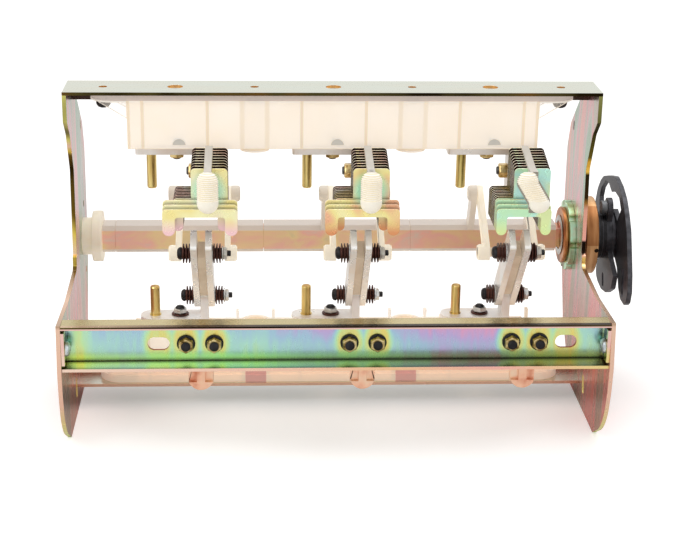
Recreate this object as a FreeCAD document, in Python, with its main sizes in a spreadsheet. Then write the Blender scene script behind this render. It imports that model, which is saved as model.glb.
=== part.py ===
"""Three-phase load break switch mechanism: frame, contacts, arc chutes, shaft and levers.

X runs along the shaft, -Y is the front with the earthing contacts, +Z is up.
The model is laid out about the middle of the frame and the floor, and set on
the centre of its own footprint at the end. It stands in the open position.
"""
import FreeCAD, Part
import math
import os

import Sketcher

Vector = FreeCAD.Vector
Rotation = FreeCAD.Rotation
Placement = FreeCAD.Placement

doc = FreeCAD.newDocument("load_break_switch")
sheet = doc.addObject("Spreadsheet::Sheet", "Sizes")


class Size:
    """A number that also knows the sheet expression it comes from."""

    def __init__(self, value, text=None):
        self.value = float(value)
        self.text = text if text is not None else repr(float(value))

    def combine(self, other, sign, value):
        return Size(value, "(%s %s %s)" % (self.text, sign, size_of(other).text))

    def __add__(self, other):
        return self.combine(other, "+", self.value + number(other))

    def __sub__(self, other):
        return self.combine(other, "-", self.value - number(other))

    def __mul__(self, other):
        return self.combine(other, "*", self.value * number(other))

    def __truediv__(self, other):
        return self.combine(other, "/", self.value / number(other))

    def __radd__(self, other):
        return size_of(other) + self

    def __rsub__(self, other):
        return size_of(other) - self

    def __rmul__(self, other):
        return size_of(other) * self

    def __neg__(self):
        return Size(-self.value, "(-1 * %s)" % self.text)


def number(item):
    return item.value if isinstance(item, Size) else float(item)


def size_of(item):
    return item if isinstance(item, Size) else Size(item)


def sine(angle):
    return Size(math.sin(math.radians(number(angle))), "sin(%s)" % size_of(angle).text)


def cosine(angle):
    return Size(math.cos(math.radians(number(angle))), "cos(%s)" % size_of(angle).text)


row_count = 0


def cell(name, value):
    """Write one driving dimension to the sheet."""
    global row_count
    row_count += 1
    sheet.set("A%d" % row_count, name)
    sheet.set("B%d" % row_count, repr(value))
    sheet.setAlias("B%d" % row_count, name)
    return Size(value, "Sizes." + name)


def cell_points(stem, points):
    """Two cells for each corner of a measured outline."""
    made = []
    for i, (y, z) in enumerate(points, start=1):
        made.append((cell("%s_%d_y" % (stem, i), y), cell("%s_%d_z" % (stem, i), z)))
    return made


# Driving dimensions of the frame
phase_pitch = cell("phase_pitch", 150.0)
inner_width = cell("inner_width", 500.0)
plate_wall = cell("plate_wall", 4.0)
frame_height = cell("frame_height", 318.0)
beam_wall = cell("beam_wall", 3.0)
beam_depth = cell("beam_depth", 50.0)
beam_lip = cell("beam_lip", 15.0)
floor_gap = cell("floor_gap", 20.0)
front_reach = cell("front_reach", 147.0)
shelf_height = cell("shelf_height", 131.0)
throat_top = cell_points("throat_top", [(-25.0, 26.0), (-8.0, 42.0), (12.0, 82.0)])
throat_foot = cell_points("throat_foot", [
    (8.0, 32.0), (8.0, 17.0), (3.0, 15.0), (3.0, 7.0), (-2.0, 3.0), (-72.0, -2.0)])
front_edge = cell_points("front_edge", [(2.0, 132.0), (-2.0, 87.0), (4.0, 34.0), (42.0, 0.0)])
back_foot = cell_points("back_foot", [(25.0, 0.0), (79.0, 51.0), (102.0, 105.0), (109.0, 152.0)])
back_top = cell_points("back_top", [(111.0, 84.0), (100.0, 57.0), (65.0, 26.0)])
foot_slot = cell_points("foot_slot", [(-42.0, 21.0), (-40.0, 32.0)])
back_slot = cell_points("back_slot", [(84.0, 59.0), (84.0, 53.0)])
back_slot_radius = cell("back_slot_radius", 2.0)
square_holes = cell_points("square_holes", [(83.0, 31.0), (83.0, -40.0)])
side_round = cell("side_round", 12.0)
square_hole = cell("square_hole", 6.0)
inspection_hole_radius = cell("inspection_hole_radius", 7.3)

# Channel that carries the earthing contacts
channel_wall = cell("channel_wall", 3.0)
channel_flange = cell("channel_flange", 24.0)
channel_height = cell("channel_height", 43.5)
channel_slot_offset = cell("channel_slot_offset", 188.0)
channel_slot_length = cell("channel_slot_length", 20.0)
channel_slot_radius = cell("channel_slot_radius", 6.3)
channel_set_back = cell("channel_set_back", 1.0)
end_tab = cell("end_tab", 20.0)

# Insulating trays
tray_height = cell("tray_height", 56.0)
tray_flange_length = cell("tray_flange_length", 460.0)
tray_flange_wall = cell("tray_flange_wall", 7.5)
tray_length = cell("tray_length", 390.0)
tray_depth = cell("tray_depth", 38.0)
tray_wall = cell("tray_wall", 3.0)
tray_pad = cell("tray_pad", 3.0)
tray_rib_offset = cell("tray_rib_offset", 30.5)
flange_margin = cell("flange_margin", 0.5)
well_radius = cell("well_radius", 14.3)
well_bore = cell("well_bore", 11.3)
well_floor = cell("well_floor", 8.0)
well_proud = cell("well_proud", 5.0)
gusset_run = cell("gusset_run", 26.0)
gusset_drop = cell("gusset_drop", 16.0)
end_screw_offset = cell("end_screw_offset", 218.0)
screw_radius = cell("screw_radius", 4.0)
screw_head_radius = cell("screw_head_radius", 7.0)
screw_head_height = cell("screw_head_height", 4.4)
fin_offset = cell("fin_offset", 17.5)
fin_width = cell("fin_width", 3.0)
fin_depth = cell("fin_depth", 6.0)
fin_height = cell("fin_height", 22.0)

# Contact bars, studs and clamp bolts
contact_spread = cell("contact_spread", 24.5)
bar_wall = cell("bar_wall", 6.0)
bar_width = cell("bar_width", 26.0)
bar_overhang = cell("bar_overhang", 14.5)
leg_wall = cell("leg_wall", 7.8)
upper_leg_length = cell("upper_leg_length", 60.0)
stud_radius = cell("stud_radius", 4.5)
stud_length = cell("stud_length", 36.0)
lower_stud_length = cell("lower_stud_length", 30.0)
stud_seat_radius = cell("stud_seat_radius", 5.5)
clamp_radius = cell("clamp_radius", 4.0)
clamp_nut_radius = cell("clamp_nut_radius", 7.5)
clamp_nut_height = cell("clamp_nut_height", 7.0)
clamp_disc_radius = cell("clamp_disc_radius", 8.6)
clamp_disc_wall = cell("clamp_disc_wall", 2.0)
dome_nut_radius = cell("dome_nut_radius", 6.8)
nut_room_radius = cell("nut_room_radius", 9.0)
dome_nut_height = cell("dome_nut_height", 6.0)

# Blades
hinge_y = cell("hinge_y", 6.0)
hinge_z = cell("hinge_z", 105.2)
blade_lean = cell("blade_lean", 41.9)
blade_reach = cell("blade_reach", 112.0)
blade_wall = cell("blade_wall", 6.0)
blade_width = cell("blade_width", 23.0)
blade_gap = cell("blade_gap", 8.0)
blade_tip_bevel = cell("blade_tip_bevel", 4.0)
spring_bolt_reach = cell("spring_bolt_reach", 85.0)
spacer_start = cell("spacer_start", 16.0)
spacer_end = cell("spacer_end", 92.0)
spacer_width = cell("spacer_width", 18.0)
spacer_wall = cell("spacer_wall", 7.4)
spacer_ear = cell("spacer_ear", 4.0)
spacer_slope = cell("spacer_slope", 22.0)
spring_bolt_radius = cell("spring_bolt_radius", 4.0)
spring_bolt_head = cell("spring_bolt_head", 6.2)
spring_nut_radius = cell("spring_nut_radius", 7.2)
spring_nut_height = cell("spring_nut_height", 5.5)
spring_bolt_tail = cell("spring_bolt_tail", 3.0)
sleeve_radius = cell("sleeve_radius", 5.5)
spring_head_height = cell("spring_head_height", 4.5)
washer_radius = cell("washer_radius", 9.5)
washer_pitch = cell("washer_pitch", 3.0)
washer_wall = cell("washer_wall", 1.2)
washer_cup = cell("washer_cup", 1.4)
washer_clearance = cell("washer_clearance", 0.2)
running_clearance = cell("running_clearance", 0.05)
cross_pin_radius = cell("cross_pin_radius", 4.5)

# Shaft, cranks and links
shaft_y = cell("shaft_y", 71.0)
shaft_z = cell("shaft_z", 145.9)
shaft_square = cell("shaft_square", 20.0)
sleeve_square = cell("sleeve_square", 28.0)
sleeve_chamfer = cell("sleeve_chamfer", 4.0)
sleeve_gap = cell("sleeve_gap", 0.4)
seam_offset = cell("seam_offset", 66.7)
crank_radius = cell("crank_radius", 58.2)
crank_lean = cell("crank_lean", 25.4)
crank_inner = cell("crank_inner", 26.6)
crank_wall = cell("crank_wall", 6.0)
crank_pin_radius = cell("crank_pin_radius", 4.0)
crank_boss_radius = cell("crank_boss_radius", 8.0)
crank_boss_proud = cell("crank_boss_proud", 3.0)
link_inner = cell("link_inner", 21.0)
link_wall = cell("link_wall", 5.3)
link_radius = cell("link_radius", 8.0)
link_boss_proud = cell("link_boss_proud", 6.7)

# Bearings and levers
left_journal_radius = cell("left_journal_radius", 12.0)
left_neck_radius = cell("left_neck_radius", 19.0)
left_flange_radius = cell("left_flange_radius", 26.0)
left_flange_wall = cell("left_flange_wall", 10.0)
left_flange_gap = cell("left_flange_gap", 10.0)
right_journal_radius = cell("right_journal_radius", 16.0)
bush_neck_radius = cell("bush_neck_radius", 24.0)
bush_flange_radius = cell("bush_flange_radius", 29.0)
bush_flange_wall = cell("bush_flange_wall", 4.5)
disc_clearance = cell("disc_clearance", 0.5)
lock_nut_radius = cell("lock_nut_radius", 36.0)
lock_nut_wall = cell("lock_nut_wall", 6.0)
lock_notch_radius = cell("lock_notch_radius", 3.2)
disc_start = cell("disc_start", 6.0)
disc_radius = cell("disc_radius", 40.0)
disc_wall = cell("disc_wall", 13.0)
disc_neck_radius = cell("disc_neck_radius", 28.0)
lever_wall = cell("lever_wall", 5.0)
boss_wall = cell("boss_wall", 12.0)
hub_radius = cell("hub_radius", 24.0)
hub_wall = cell("hub_wall", 4.0)
end_nut_radius = cell("end_nut_radius", 20.0)
end_nut_wall = cell("end_nut_wall", 7.0)

# Arc chutes
chute_back = cell("chute_back", 30.0)
chute_pitch = cell("chute_pitch", 5.0)
chute_plate_wall = cell("chute_plate_wall", 1.5)
chute_rise = cell("chute_rise", 7.0)
chute_top_step = cell("chute_top_step", 1.1)
shoulder_drop = cell("shoulder_drop", 30.5)
chute_bar_drop = cell("chute_bar_drop", 44.2)
leg_end_drop = cell("leg_end_drop", 62.0)
chute_leg_width = cell("chute_leg_width", 9.6)
chute_half_width = cell("chute_half_width", 25.5)
chute_neck_width = cell("chute_neck_width", 34.0)
chute_wide_half = cell("chute_wide_half", 34.5)
chute_wide_leg = cell("chute_wide_leg", 11.5)
chute_front_step = cell("chute_front_step", 3.0)
rail_drop = cell("rail_drop", 40.0)
comb_wall = cell("comb_wall", 7.0)
comb_fit = cell("comb_fit", 0.1)
nose_width = cell("nose_width", 20.0)
nose_depth = cell("nose_depth", 8.0)
nose_end_drop = cell("nose_end_drop", 40.0)
nose_rise = cell("nose_rise", 24.0)
comb_eye = cell("comb_eye", 10.0)
comb_margin = cell("comb_margin", 1.0)
nose_skew = cell("nose_skew", 6.0)
side_bolt_drop = cell("side_bolt_drop", 17.0)
side_bolt_back = cell("side_bolt_back", 8.0)
side_bolt_radius = cell("side_bolt_radius", 4.0)
side_head_height = cell("side_head_height", 5.0)
side_nut_height = cell("side_nut_height", 9.0)

# Earthing contacts
earth_bolt_spread = cell("earth_bolt_spread", 12.9)
earth_bolt_height = cell("earth_bolt_height", 107.0)
earth_base_wall = cell("earth_base_wall", 4.0)
earth_base_half = cell("earth_base_half", 22.0)
earth_fin_length = cell("earth_fin_length", 26.0)
earth_fin_low = cell("earth_fin_low", 86.0)
earth_fin_high = cell("earth_fin_high", 118.0)
earth_end_width = cell("earth_end_width", 23.0)
earth_end_low = cell("earth_end_low", 59.0)
earth_window_low = cell("earth_window_low", 67.0)
earth_plate_high = cell("earth_plate_high", 96.0)
earth_bolt_radius = cell("earth_bolt_radius", 4.0)
earth_nut_radius = cell("earth_nut_radius", 7.5)
earth_washer_radius = cell("earth_washer_radius", 8.5)
earth_washer_wall = cell("earth_washer_wall", 1.5)
earth_nut_height = cell("earth_nut_height", 6.5)
earth_bolt_tail = cell("earth_bolt_tail", 2.0)

phase_count = 3
tall_plate_count = 9
front_plate_count = 3
notch_count = 8
washers_in_stack = 3
doc.recompute()

plane_roles = {"xy": "XY_Plane", "xz": "XZ_Plane", "yz": "YZ_Plane"}
plane_normals = {"xy": Vector(0, 0, 1), "xz": Vector(0, 1, 0), "yz": Vector(1, 0, 0)}


def bind(item, path, size):
    item.setExpression(path, size_of(size).text)


def place(item, x=0, y=0, z=0, turn=None):
    """Put an object at bound coordinates, turned by an axis and an angle where given."""
    if turn:
        axis, angle = turn
        item.Placement = Placement(Vector(number(x), number(y), number(z)), Rotation(axis, number(angle)))
        if isinstance(angle, Size):
            bind(item, "Placement.Rotation.Angle", angle)
    bind(item, "Placement.Base.x", x)
    bind(item, "Placement.Base.y", y)
    bind(item, "Placement.Base.z", z)
    return item


def hold(sketch, geometry, position, u, v):
    """Tie one point of a sketch to bound coordinates."""
    for kind, size in (("DistanceX", u), ("DistanceY", v)):
        index = sketch.addConstraint(Sketcher.Constraint(kind, -1, 1, geometry, position, number(size)))
        if isinstance(size, Size):
            bind(sketch, "Constraints[%d]" % index, size)


def hold_radius(sketch, geometry, radius):
    index = sketch.addConstraint(Sketcher.Constraint("Radius", geometry, number(radius)))
    if isinstance(radius, Size):
        bind(sketch, "Constraints[%d]" % index, radius)


def draw_outline(sketch, points):
    """Closed outline of straight lines through bound points."""
    first = sketch.GeometryCount
    count = len(points)
    places = [Vector(number(p[0]), number(p[1]), 0) for p in points]
    for i in range(count):
        sketch.addGeometry(Part.LineSegment(places[i], places[(i + 1) % count]))
    for i in range(count):
        following = first + (i + 1) % count
        sketch.addConstraint(Sketcher.Constraint("Coincident", first + i, 2, following, 1))
        hold(sketch, first + i, 1, points[i][0], points[i][1])


def draw_circle(sketch, u, v, radius):
    centre = Vector(number(u), number(v), 0)
    index = sketch.addGeometry(Part.Circle(centre, Vector(0, 0, 1), number(radius)))
    hold(sketch, index, 3, u, v)
    hold_radius(sketch, index, radius)


def draw_obround(sketch, start, end, radius):
    """Slot shape: two half circles joined by tangent lines."""
    a = Vector(number(start[0]), number(start[1]), 0)
    b = Vector(number(end[0]), number(end[1]), 0)
    r = number(radius)
    along = (b - a).normalize()
    side = Vector(-along.y, along.x, 0)
    heading = math.atan2(side.y, side.x)
    up = Vector(0, 0, 1)
    first = sketch.GeometryCount
    sketch.addGeometry(Part.ArcOfCircle(Part.Circle(a, up, r), heading, heading + math.pi))
    sketch.addGeometry(Part.LineSegment(a - side * r, b - side * r))
    sketch.addGeometry(Part.ArcOfCircle(Part.Circle(b, up, r), heading + math.pi, heading + 2 * math.pi))
    sketch.addGeometry(Part.LineSegment(b + side * r, a + side * r))
    sketch.addConstraint(Sketcher.Constraint("Tangent", first, 2, first + 1, 1))
    sketch.addConstraint(Sketcher.Constraint("Tangent", first + 1, 2, first + 2, 1))
    sketch.addConstraint(Sketcher.Constraint("Tangent", first + 2, 2, first + 3, 1))
    sketch.addConstraint(Sketcher.Constraint("Tangent", first + 3, 2, first, 1))
    hold(sketch, first, 3, start[0], start[1])
    hold(sketch, first + 2, 3, end[0], end[1])
    hold_radius(sketch, first, radius)


def new_sketch(body, plane, start):
    """Sketch on a plane of the body's own origin, moved to a bound distance from it."""
    sketch = body.newObject("Sketcher::SketchObject", body.Label + "_sketch")
    role = plane_roles[plane]
    base = [item for item in body.Origin.OriginFeatures if item.Role == role][0]
    sketch.AttachmentSupport = [(base, "")]
    sketch.MapMode = "FlatFace"
    offset = -size_of(start) if plane == "xz" else size_of(start)
    sketch.AttachmentOffset = Placement(Vector(0, 0, offset.value), Rotation())
    bind(sketch, "AttachmentOffset.Base.z", offset)
    return sketch


def draw_shapes(sketch, outline=None, circles=(), slots=(), windows=()):
    for points in ([outline] if outline else []) + list(windows):
        draw_outline(sketch, points)
    for u, v, radius in circles:
        draw_circle(sketch, u, v, radius)
    for start, end, radius in slots:
        draw_obround(sketch, start, end, radius)


def add_pad(body, plane, start, thick, **shapes):
    """Pad a sketch from start by a thickness, towards the plane's positive axis."""
    sketch = new_sketch(body, plane, start)
    draw_shapes(sketch, **shapes)
    pad = body.newObject("PartDesign::Pad", body.Label + "_pad")
    pad.Profile = sketch
    pad.Length = number(thick)
    bind(pad, "Length", thick)
    pad.Reversed = plane == "xz"
    return pad


def add_pocket(body, plane, start, thick, **shapes):
    """Cut a sketch from start by a depth, towards the plane's positive axis."""
    body.recompute(True)
    before = body.Shape.Volume
    sketch = new_sketch(body, plane, start)
    draw_shapes(sketch, **shapes)
    pocket = body.newObject("PartDesign::Pocket", body.Label + "_pocket")
    pocket.Profile = sketch
    pocket.Length = number(thick)
    bind(pocket, "Length", thick)
    pocket.Reversed = plane != "xz"
    body.recompute(True)
    if body.Shape.Volume >= before:
        raise RuntimeError("a pocket of %s cuts nothing" % body.Label)
    return pocket


def round_edges(body, plane, corners, radius):
    """Fillet the straight edges that stand on the sketch plane at the given points."""
    body.recompute(True)
    base = body.Tip
    normal = plane_normals[plane]
    names = []
    for index, edge in enumerate(base.Shape.Edges, start=1):
        if len(edge.Vertexes) != 2 or edge.Curve.TypeId != "Part::GeomLine":
            continue
        a, b = (vertex.Point for vertex in edge.Vertexes)
        if abs(abs((b - a).normalize().dot(normal)) - 1) > 1e-6:
            continue
        flat = {"xy": (a.x, a.y), "xz": (a.x, a.z), "yz": (a.y, a.z)}[plane]
        if any(math.hypot(flat[0] - number(u), flat[1] - number(v)) < 1e-4 for u, v in corners):
            names.append("Edge%d" % index)
    fillet = body.newObject("PartDesign::Fillet", body.Label + "_fillet")
    fillet.Base = (base, names)
    fillet.Radius = number(radius)
    bind(fillet, "Radius", radius)
    return fillet


def new_body(label):
    body = doc.addObject("PartDesign::Body", label)
    body.Label = label
    return body


def add_plate(label, plane, start, thick, **shapes):
    body = new_body(label)
    add_pad(body, plane, start, thick, **shapes)
    return body


def group(label, items):
    """Several separate solids under one name."""
    compound = doc.addObject("Part::Compound", label)
    compound.Label = label
    compound.Links = items
    return compound


turn_to = {"x": Rotation(Vector(0, 1, 0), 90), "-x": Rotation(Vector(0, 1, 0), -90),
           "y": Rotation(Vector(1, 0, 0), -90), "-y": Rotation(Vector(1, 0, 0), 90),
           "z": Rotation(), "-z": Rotation(Vector(1, 0, 0), 180)}


def stand(item, axis, x, y, z):
    item.Placement = Placement(Vector(number(x), number(y), number(z)), turn_to[axis])
    bind(item, "Placement.Base.x", x)
    bind(item, "Placement.Base.y", y)
    bind(item, "Placement.Base.z", z)
    return item


def cylinder(axis, x, y, z, radius, length):
    item = doc.addObject("Part::Cylinder", "round")
    bind(item, "Radius", radius)
    bind(item, "Height", length)
    return stand(item, axis, x, y, z)


def cone(axis, x, y, z, near_radius, far_radius, length):
    item = doc.addObject("Part::Cone", "cone")
    bind(item, "Radius1", near_radius)
    bind(item, "Radius2", far_radius)
    bind(item, "Height", length)
    return stand(item, axis, x, y, z)


def hexagon(axis, x, y, z, radius, length):
    item = doc.addObject("Part::Prism", "hexagon")
    item.Polygon = 6
    bind(item, "Circumradius", radius)
    bind(item, "Height", length)
    return stand(item, axis, x, y, z)


def fused(items):
    item = doc.addObject("Part::MultiFuse", "joined")
    item.Shapes = items
    return item


def drilled(base, tool):
    item = doc.addObject("Part::Cut", "drilled")
    item.Base = base
    item.Tool = tool
    return item


def ring(axis, x, y, z, radius, bore, length):
    return drilled(cylinder(axis, x, y, z, radius, length), cylinder(axis, x, y, z, bore, length))


# Places that several pieces share
phases = [phase_pitch * (i - 1) for i in range(phase_count)]
half_inner = inner_width / 2
half_beam = beam_depth / 2
beam_top = floor_gap + beam_wall
upper_pad = frame_height - beam_wall - tray_height
lower_pad = beam_top + tray_height
upper_bar_low = upper_pad - bar_wall
lower_bar_high = lower_pad + bar_wall
chute_top = upper_pad + chute_rise
chute_shoulder = upper_pad - shoulder_drop
chute_bar = upper_pad - chute_bar_drop
chute_leg_end = upper_pad - leg_end_drop
rail_low = upper_pad - rail_drop
nose_end = upper_pad - nose_end_drop
web_back = front_reach - channel_flange
crank_y = shaft_y - crank_radius * sine(crank_lean)
crank_z = shaft_z + crank_radius * cosine(crank_lean)
cross_y = hinge_y - crank_radius * sine(crank_lean)
cross_z = hinge_z + crank_radius * cosine(crank_lean)
bar_back = hinge_y + bar_width / 2
bar_front = hinge_y - bar_width / 2
blade_half = blade_gap / 2
blade_outer = blade_half + blade_wall


def square(y, z, side):
    half = side / 2
    return [(y - half, z - half), (y + half, z - half), (y + half, z + half), (y - half, z + half)]


def side_plate(label, start, bore):
    """Bracket-shaped side: deep foot, throat for the arc chutes, swept back edge."""
    top = frame_height - beam_wall
    outline = [(-half_beam, top)]
    outline += [(y, top - drop) for y, drop in throat_top]
    outline += [(y, shelf_height + rise) for y, rise in throat_foot]
    outline += [(y - front_reach, z) for y, z in front_edge]
    outline += back_foot
    outline += [(y, top - drop) for y, drop in back_top]
    outline.append((half_beam, top))
    end_screw = (-front_reach + end_tab / 2, earth_bolt_height, screw_radius)
    back_ends = [(y, top - drop) for y, drop in back_slot]
    body = add_plate(label, "yz", start, plate_wall, outline=outline,
                     circles=[(shaft_y, shaft_z, bore), end_screw],
                     slots=[(foot_slot[0], foot_slot[1], screw_radius),
                            (back_ends[0], back_ends[1], back_slot_radius)],
                     windows=[square(y, shaft_z + rise, square_hole) for y, rise in square_holes])
    round_edges(body, "yz", [outline[i] for i in (2, 3, 12, 13, 18, 19)], side_round)
    return body


side_plate("left_side_plate", -half_inner - plate_wall, left_neck_radius)
side_plate("right_side_plate", half_inner, bush_neck_radius)


def screw_places():
    """Well screws midway between phases and one screw at each end of the flange."""
    return [-end_screw_offset, -phase_pitch / 2, phase_pitch / 2, end_screw_offset]


def beam(label, low, half_length, lip_low):
    """Sheet beam with drilled web and one lip along its back edge."""
    holes = [(x, 0, screw_radius) for x in screw_places()] + [(x, 0, inspection_hole_radius) for x in phases]
    rectangle = [(-half_length, -half_beam), (half_length, -half_beam), (half_length, half_beam),
                 (-half_length, half_beam)]
    body = add_plate(label, "xy", low, beam_wall, outline=rectangle, circles=holes)
    lip = [(-half_inner, half_beam - beam_wall), (half_inner, half_beam - beam_wall), (half_inner, half_beam),
           (-half_inner, half_beam)]
    add_pad(body, "xy", lip_low, beam_lip, outline=lip)
    return body


beam("top_beam", frame_height - beam_wall, half_inner + plate_wall, frame_height - beam_wall - beam_lip)
beam("bottom_beam", floor_gap, half_inner, beam_top)

# Front channel, open to the front, with a tab bent forward at each end
channel_low = shelf_height - channel_height
channel = new_body("front_channel")
web_front = -web_back - channel_wall
channel_edge = -front_reach + channel_set_back
channel_profile = [
    (channel_edge, channel_low), (-web_back, channel_low), (-web_back, shelf_height),
    (channel_edge, shelf_height), (channel_edge, shelf_height - channel_wall),
    (web_front, shelf_height - channel_wall), (web_front, channel_low + channel_wall),
    (channel_edge, channel_low + channel_wall)]
add_pad(channel, "yz", -half_inner, inner_width, outline=channel_profile)
for side in (-1, 1):
    tab_start = -half_inner if side < 0 else half_inner - channel_wall
    tab = [(web_front - end_tab, channel_low + 2 * channel_wall), (web_front, channel_low + 2 * channel_wall),
           (web_front, shelf_height - 2 * channel_wall),
           (web_front - end_tab, shelf_height - 2 * channel_wall)]
    add_pad(channel, "yz", tab_start, channel_wall, outline=tab)
web_holes = []
for x in phases:
    for side in (-1, 1):
        hole_x = x + contact_spread + side * earth_bolt_spread
        web_holes.append((hole_x, earth_bolt_height, earth_bolt_radius))
slot_half = channel_slot_length / 2 - channel_slot_radius
web_slots = []
for side in (-1, 1):
    middle = contact_spread + side * channel_slot_offset
    web_slots.append(((middle - slot_half, earth_bolt_height), (middle + slot_half, earth_bolt_height),
                      channel_slot_radius))
add_pocket(channel, "xz", web_front, channel_wall, circles=web_holes, slots=web_slots)
tab_holes = [(-front_reach + end_tab / 2, earth_bolt_height, screw_radius)]
add_pocket(channel, "yz", -half_inner, channel_wall, circles=tab_holes)
add_pocket(channel, "yz", half_inner - channel_wall, channel_wall, circles=tab_holes)

end_screws = []
for side in (-1, 1):
    inner = side * (half_inner - channel_wall)
    place_y = -front_reach + end_tab / 2
    outward, inward = ("-x", "x") if side < 0 else ("x", "-x")
    shank = cylinder(outward, inner, place_y, earth_bolt_height, screw_radius, channel_wall + plate_wall)
    head = cylinder(inward, inner, place_y, earth_bolt_height, screw_head_radius, screw_head_height)
    end_screws.append(fused([shank, head]))


def tray(label, base, sense):
    """Ribbed moulded tray on a beam: flange, open box, screw wells and pads for the contact bars."""
    body = new_body(label)
    half_flange = tray_flange_length / 2
    half_length = tray_length / 2
    half_depth = tray_depth / 2
    box_height = tray_height - tray_pad

    def rise(height, thick):
        """Lower end of a layer that starts at a height above the beam."""
        return base + height if sense > 0 else base - height - thick

    holes = [(x, 0, screw_radius) for x in (-end_screw_offset, end_screw_offset)]
    flange_radius = half_beam - beam_wall - flange_margin
    add_pad(body, "xy", rise(0, tray_flange_wall), tray_flange_wall,
            slots=[((-half_flange + flange_radius, 0), (half_flange - flange_radius, 0), flange_radius)],
            circles=holes)
    box = [(-half_length, -half_depth), (half_length, -half_depth), (half_length, half_depth),
           (-half_length, half_depth)]
    add_pad(body, "xy", rise(tray_flange_wall, box_height - tray_flange_wall),
            box_height - tray_flange_wall, outline=box)
    well_height = tray_height - tray_pad + well_proud
    wells = [(x, 0, well_radius) for x in (-phase_pitch / 2, phase_pitch / 2)]
    add_pad(body, "xy", rise(tray_flange_wall, well_height - tray_flange_wall),
            well_height - tray_flange_wall, circles=wells)
    for x in phases:
        pad_left = x - contact_spread - bar_overhang
        pad_right = x + contact_spread + leg_wall / 2
        pad_shape = [(pad_left, bar_front), (pad_right, bar_front), (pad_right, half_depth), (pad_left, half_depth)]
        add_pad(body, "xy", rise(box_height, tray_pad), tray_pad, outline=pad_shape)

    # Pockets between the ribs, all open towards the beam
    stops = [-half_length]
    for x in phases:
        stops += [x - tray_rib_offset, x + tray_rib_offset]
    stops.append(half_length)
    pocket_depth = box_height - tray_wall
    for left, right in zip(stops[:-1], stops[1:]):
        in_left = left + (tray_wall if left is stops[0] else tray_wall / 2)
        in_right = right - (tray_wall if right is stops[-1] else tray_wall / 2)
        middle = (left + right) / 2
        keep = tray_wall / 2
        if any(abs(number(middle) - number(well[0])) < 1 for well in wells):
            keep = well_radius
        parts = [(in_left, middle - keep), (middle + keep, in_right)]
        if left is stops[0] or right is stops[-1]:
            parts = [(in_left, in_right)]
        for a, b in parts:
            cut = [(a, -half_depth + tray_wall), (b, -half_depth + tray_wall), (b, half_depth - tray_wall),
                   (a, half_depth - tray_wall)]
            add_pocket(body, "xy", rise(0, pocket_depth), pocket_depth, outline=cut)
    for side in (-1, 1):
        for front in (-half_depth, half_depth - tray_wall):
            low = base + tray_flange_wall * sense
            inner = half_length * side
            outer = inner + gusset_run * side
            web = [(inner, low), (outer, low), (inner, low + gusset_drop * sense)]
            add_pad(body, "xz", front, tray_wall, outline=web)
    add_pocket(body, "xy", rise(0, pocket_depth), pocket_depth,
               circles=[(x, hinge_y, nut_room_radius) for x in phases])
    well_depth = well_height - well_floor
    add_pocket(body, "xy", rise(well_floor, well_depth), well_depth,
               circles=[(x, 0, well_bore) for x in (-phase_pitch / 2, phase_pitch / 2)])
    add_pocket(body, "xy", rise(0, well_floor), well_floor,
               circles=[(x, 0, screw_radius) for x in (-phase_pitch / 2, phase_pitch / 2)])
    floor_wall = tray_wall + tray_pad
    add_pocket(body, "xy", rise(tray_height - floor_wall, floor_wall), floor_wall,
               circles=[(x, hinge_y, clamp_radius) for x in phases])
    return body


tray("upper_tray", frame_height - beam_wall, -1)
lower_tray = tray("lower_tray", beam_top, 1)

# The lower tray alone has upright fins on its front wall beside each well and at its right end
fin_front = -tray_depth / 2
fin_places = [side * phase_pitch / 2 + flank * fin_offset for side in (-1, 1) for flank in (-1, 1)]
fin_places.append(tray_length / 2 - fin_width / 2)
for x in fin_places:
    fin_left = x - fin_width / 2
    fin_right = x + fin_width / 2
    fin_back = fin_front + fin_depth
    fin = [(fin_left, fin_front), (fin_right, fin_front), (fin_right, fin_back), (fin_left, fin_back)]
    add_pad(lower_tray, "xy", beam_top + tray_height - tray_pad, fin_height, outline=fin)

frame_screws = end_screws
for x in screw_places():
    seat = tray_flange_wall if abs(x.value) > phase_pitch.value else well_floor
    for face, sense, inward in ((frame_height - beam_wall, -1, "-z"), (beam_top, 1, "z")):
        shank_start = face - sense * beam_wall
        shank = cylinder(inward, x, 0, shank_start, screw_radius, beam_wall + seat)
        head = cylinder(inward, x, 0, face + sense * seat, screw_head_radius, screw_head_height)
        frame_screws.append(fused([shank, head]))
group("frame_screws", frame_screws)


def contact_bar(label, x, low, leg_low, leg_high, round_centre):
    """Flat bar under or on a tray with a leg in the blades' plane."""
    left = x - contact_spread - bar_overhang
    right = x + contact_spread + leg_wall / 2
    bar = [(left, bar_front), (right, bar_front), (right, bar_back), (left, bar_back)]
    body = add_plate(label, "xy", low, bar_wall, outline=bar,
                     circles=[(x - contact_spread, hinge_y, stud_seat_radius), (x, hinge_y, clamp_radius)])
    leg = [(bar_front, leg_low), (bar_back, leg_low), (bar_back, leg_high), (bar_front, leg_high)]
    add_pad(body, "yz", x + contact_spread - leg_wall / 2, leg_wall, outline=leg)
    free = leg_high if round_centre else leg_low
    corner = bar_width / 2 - 0.01 if round_centre else bar_width / 6
    round_edges(body, "yz", [(bar_front, free), (bar_back, free)], corner)
    return body


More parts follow.
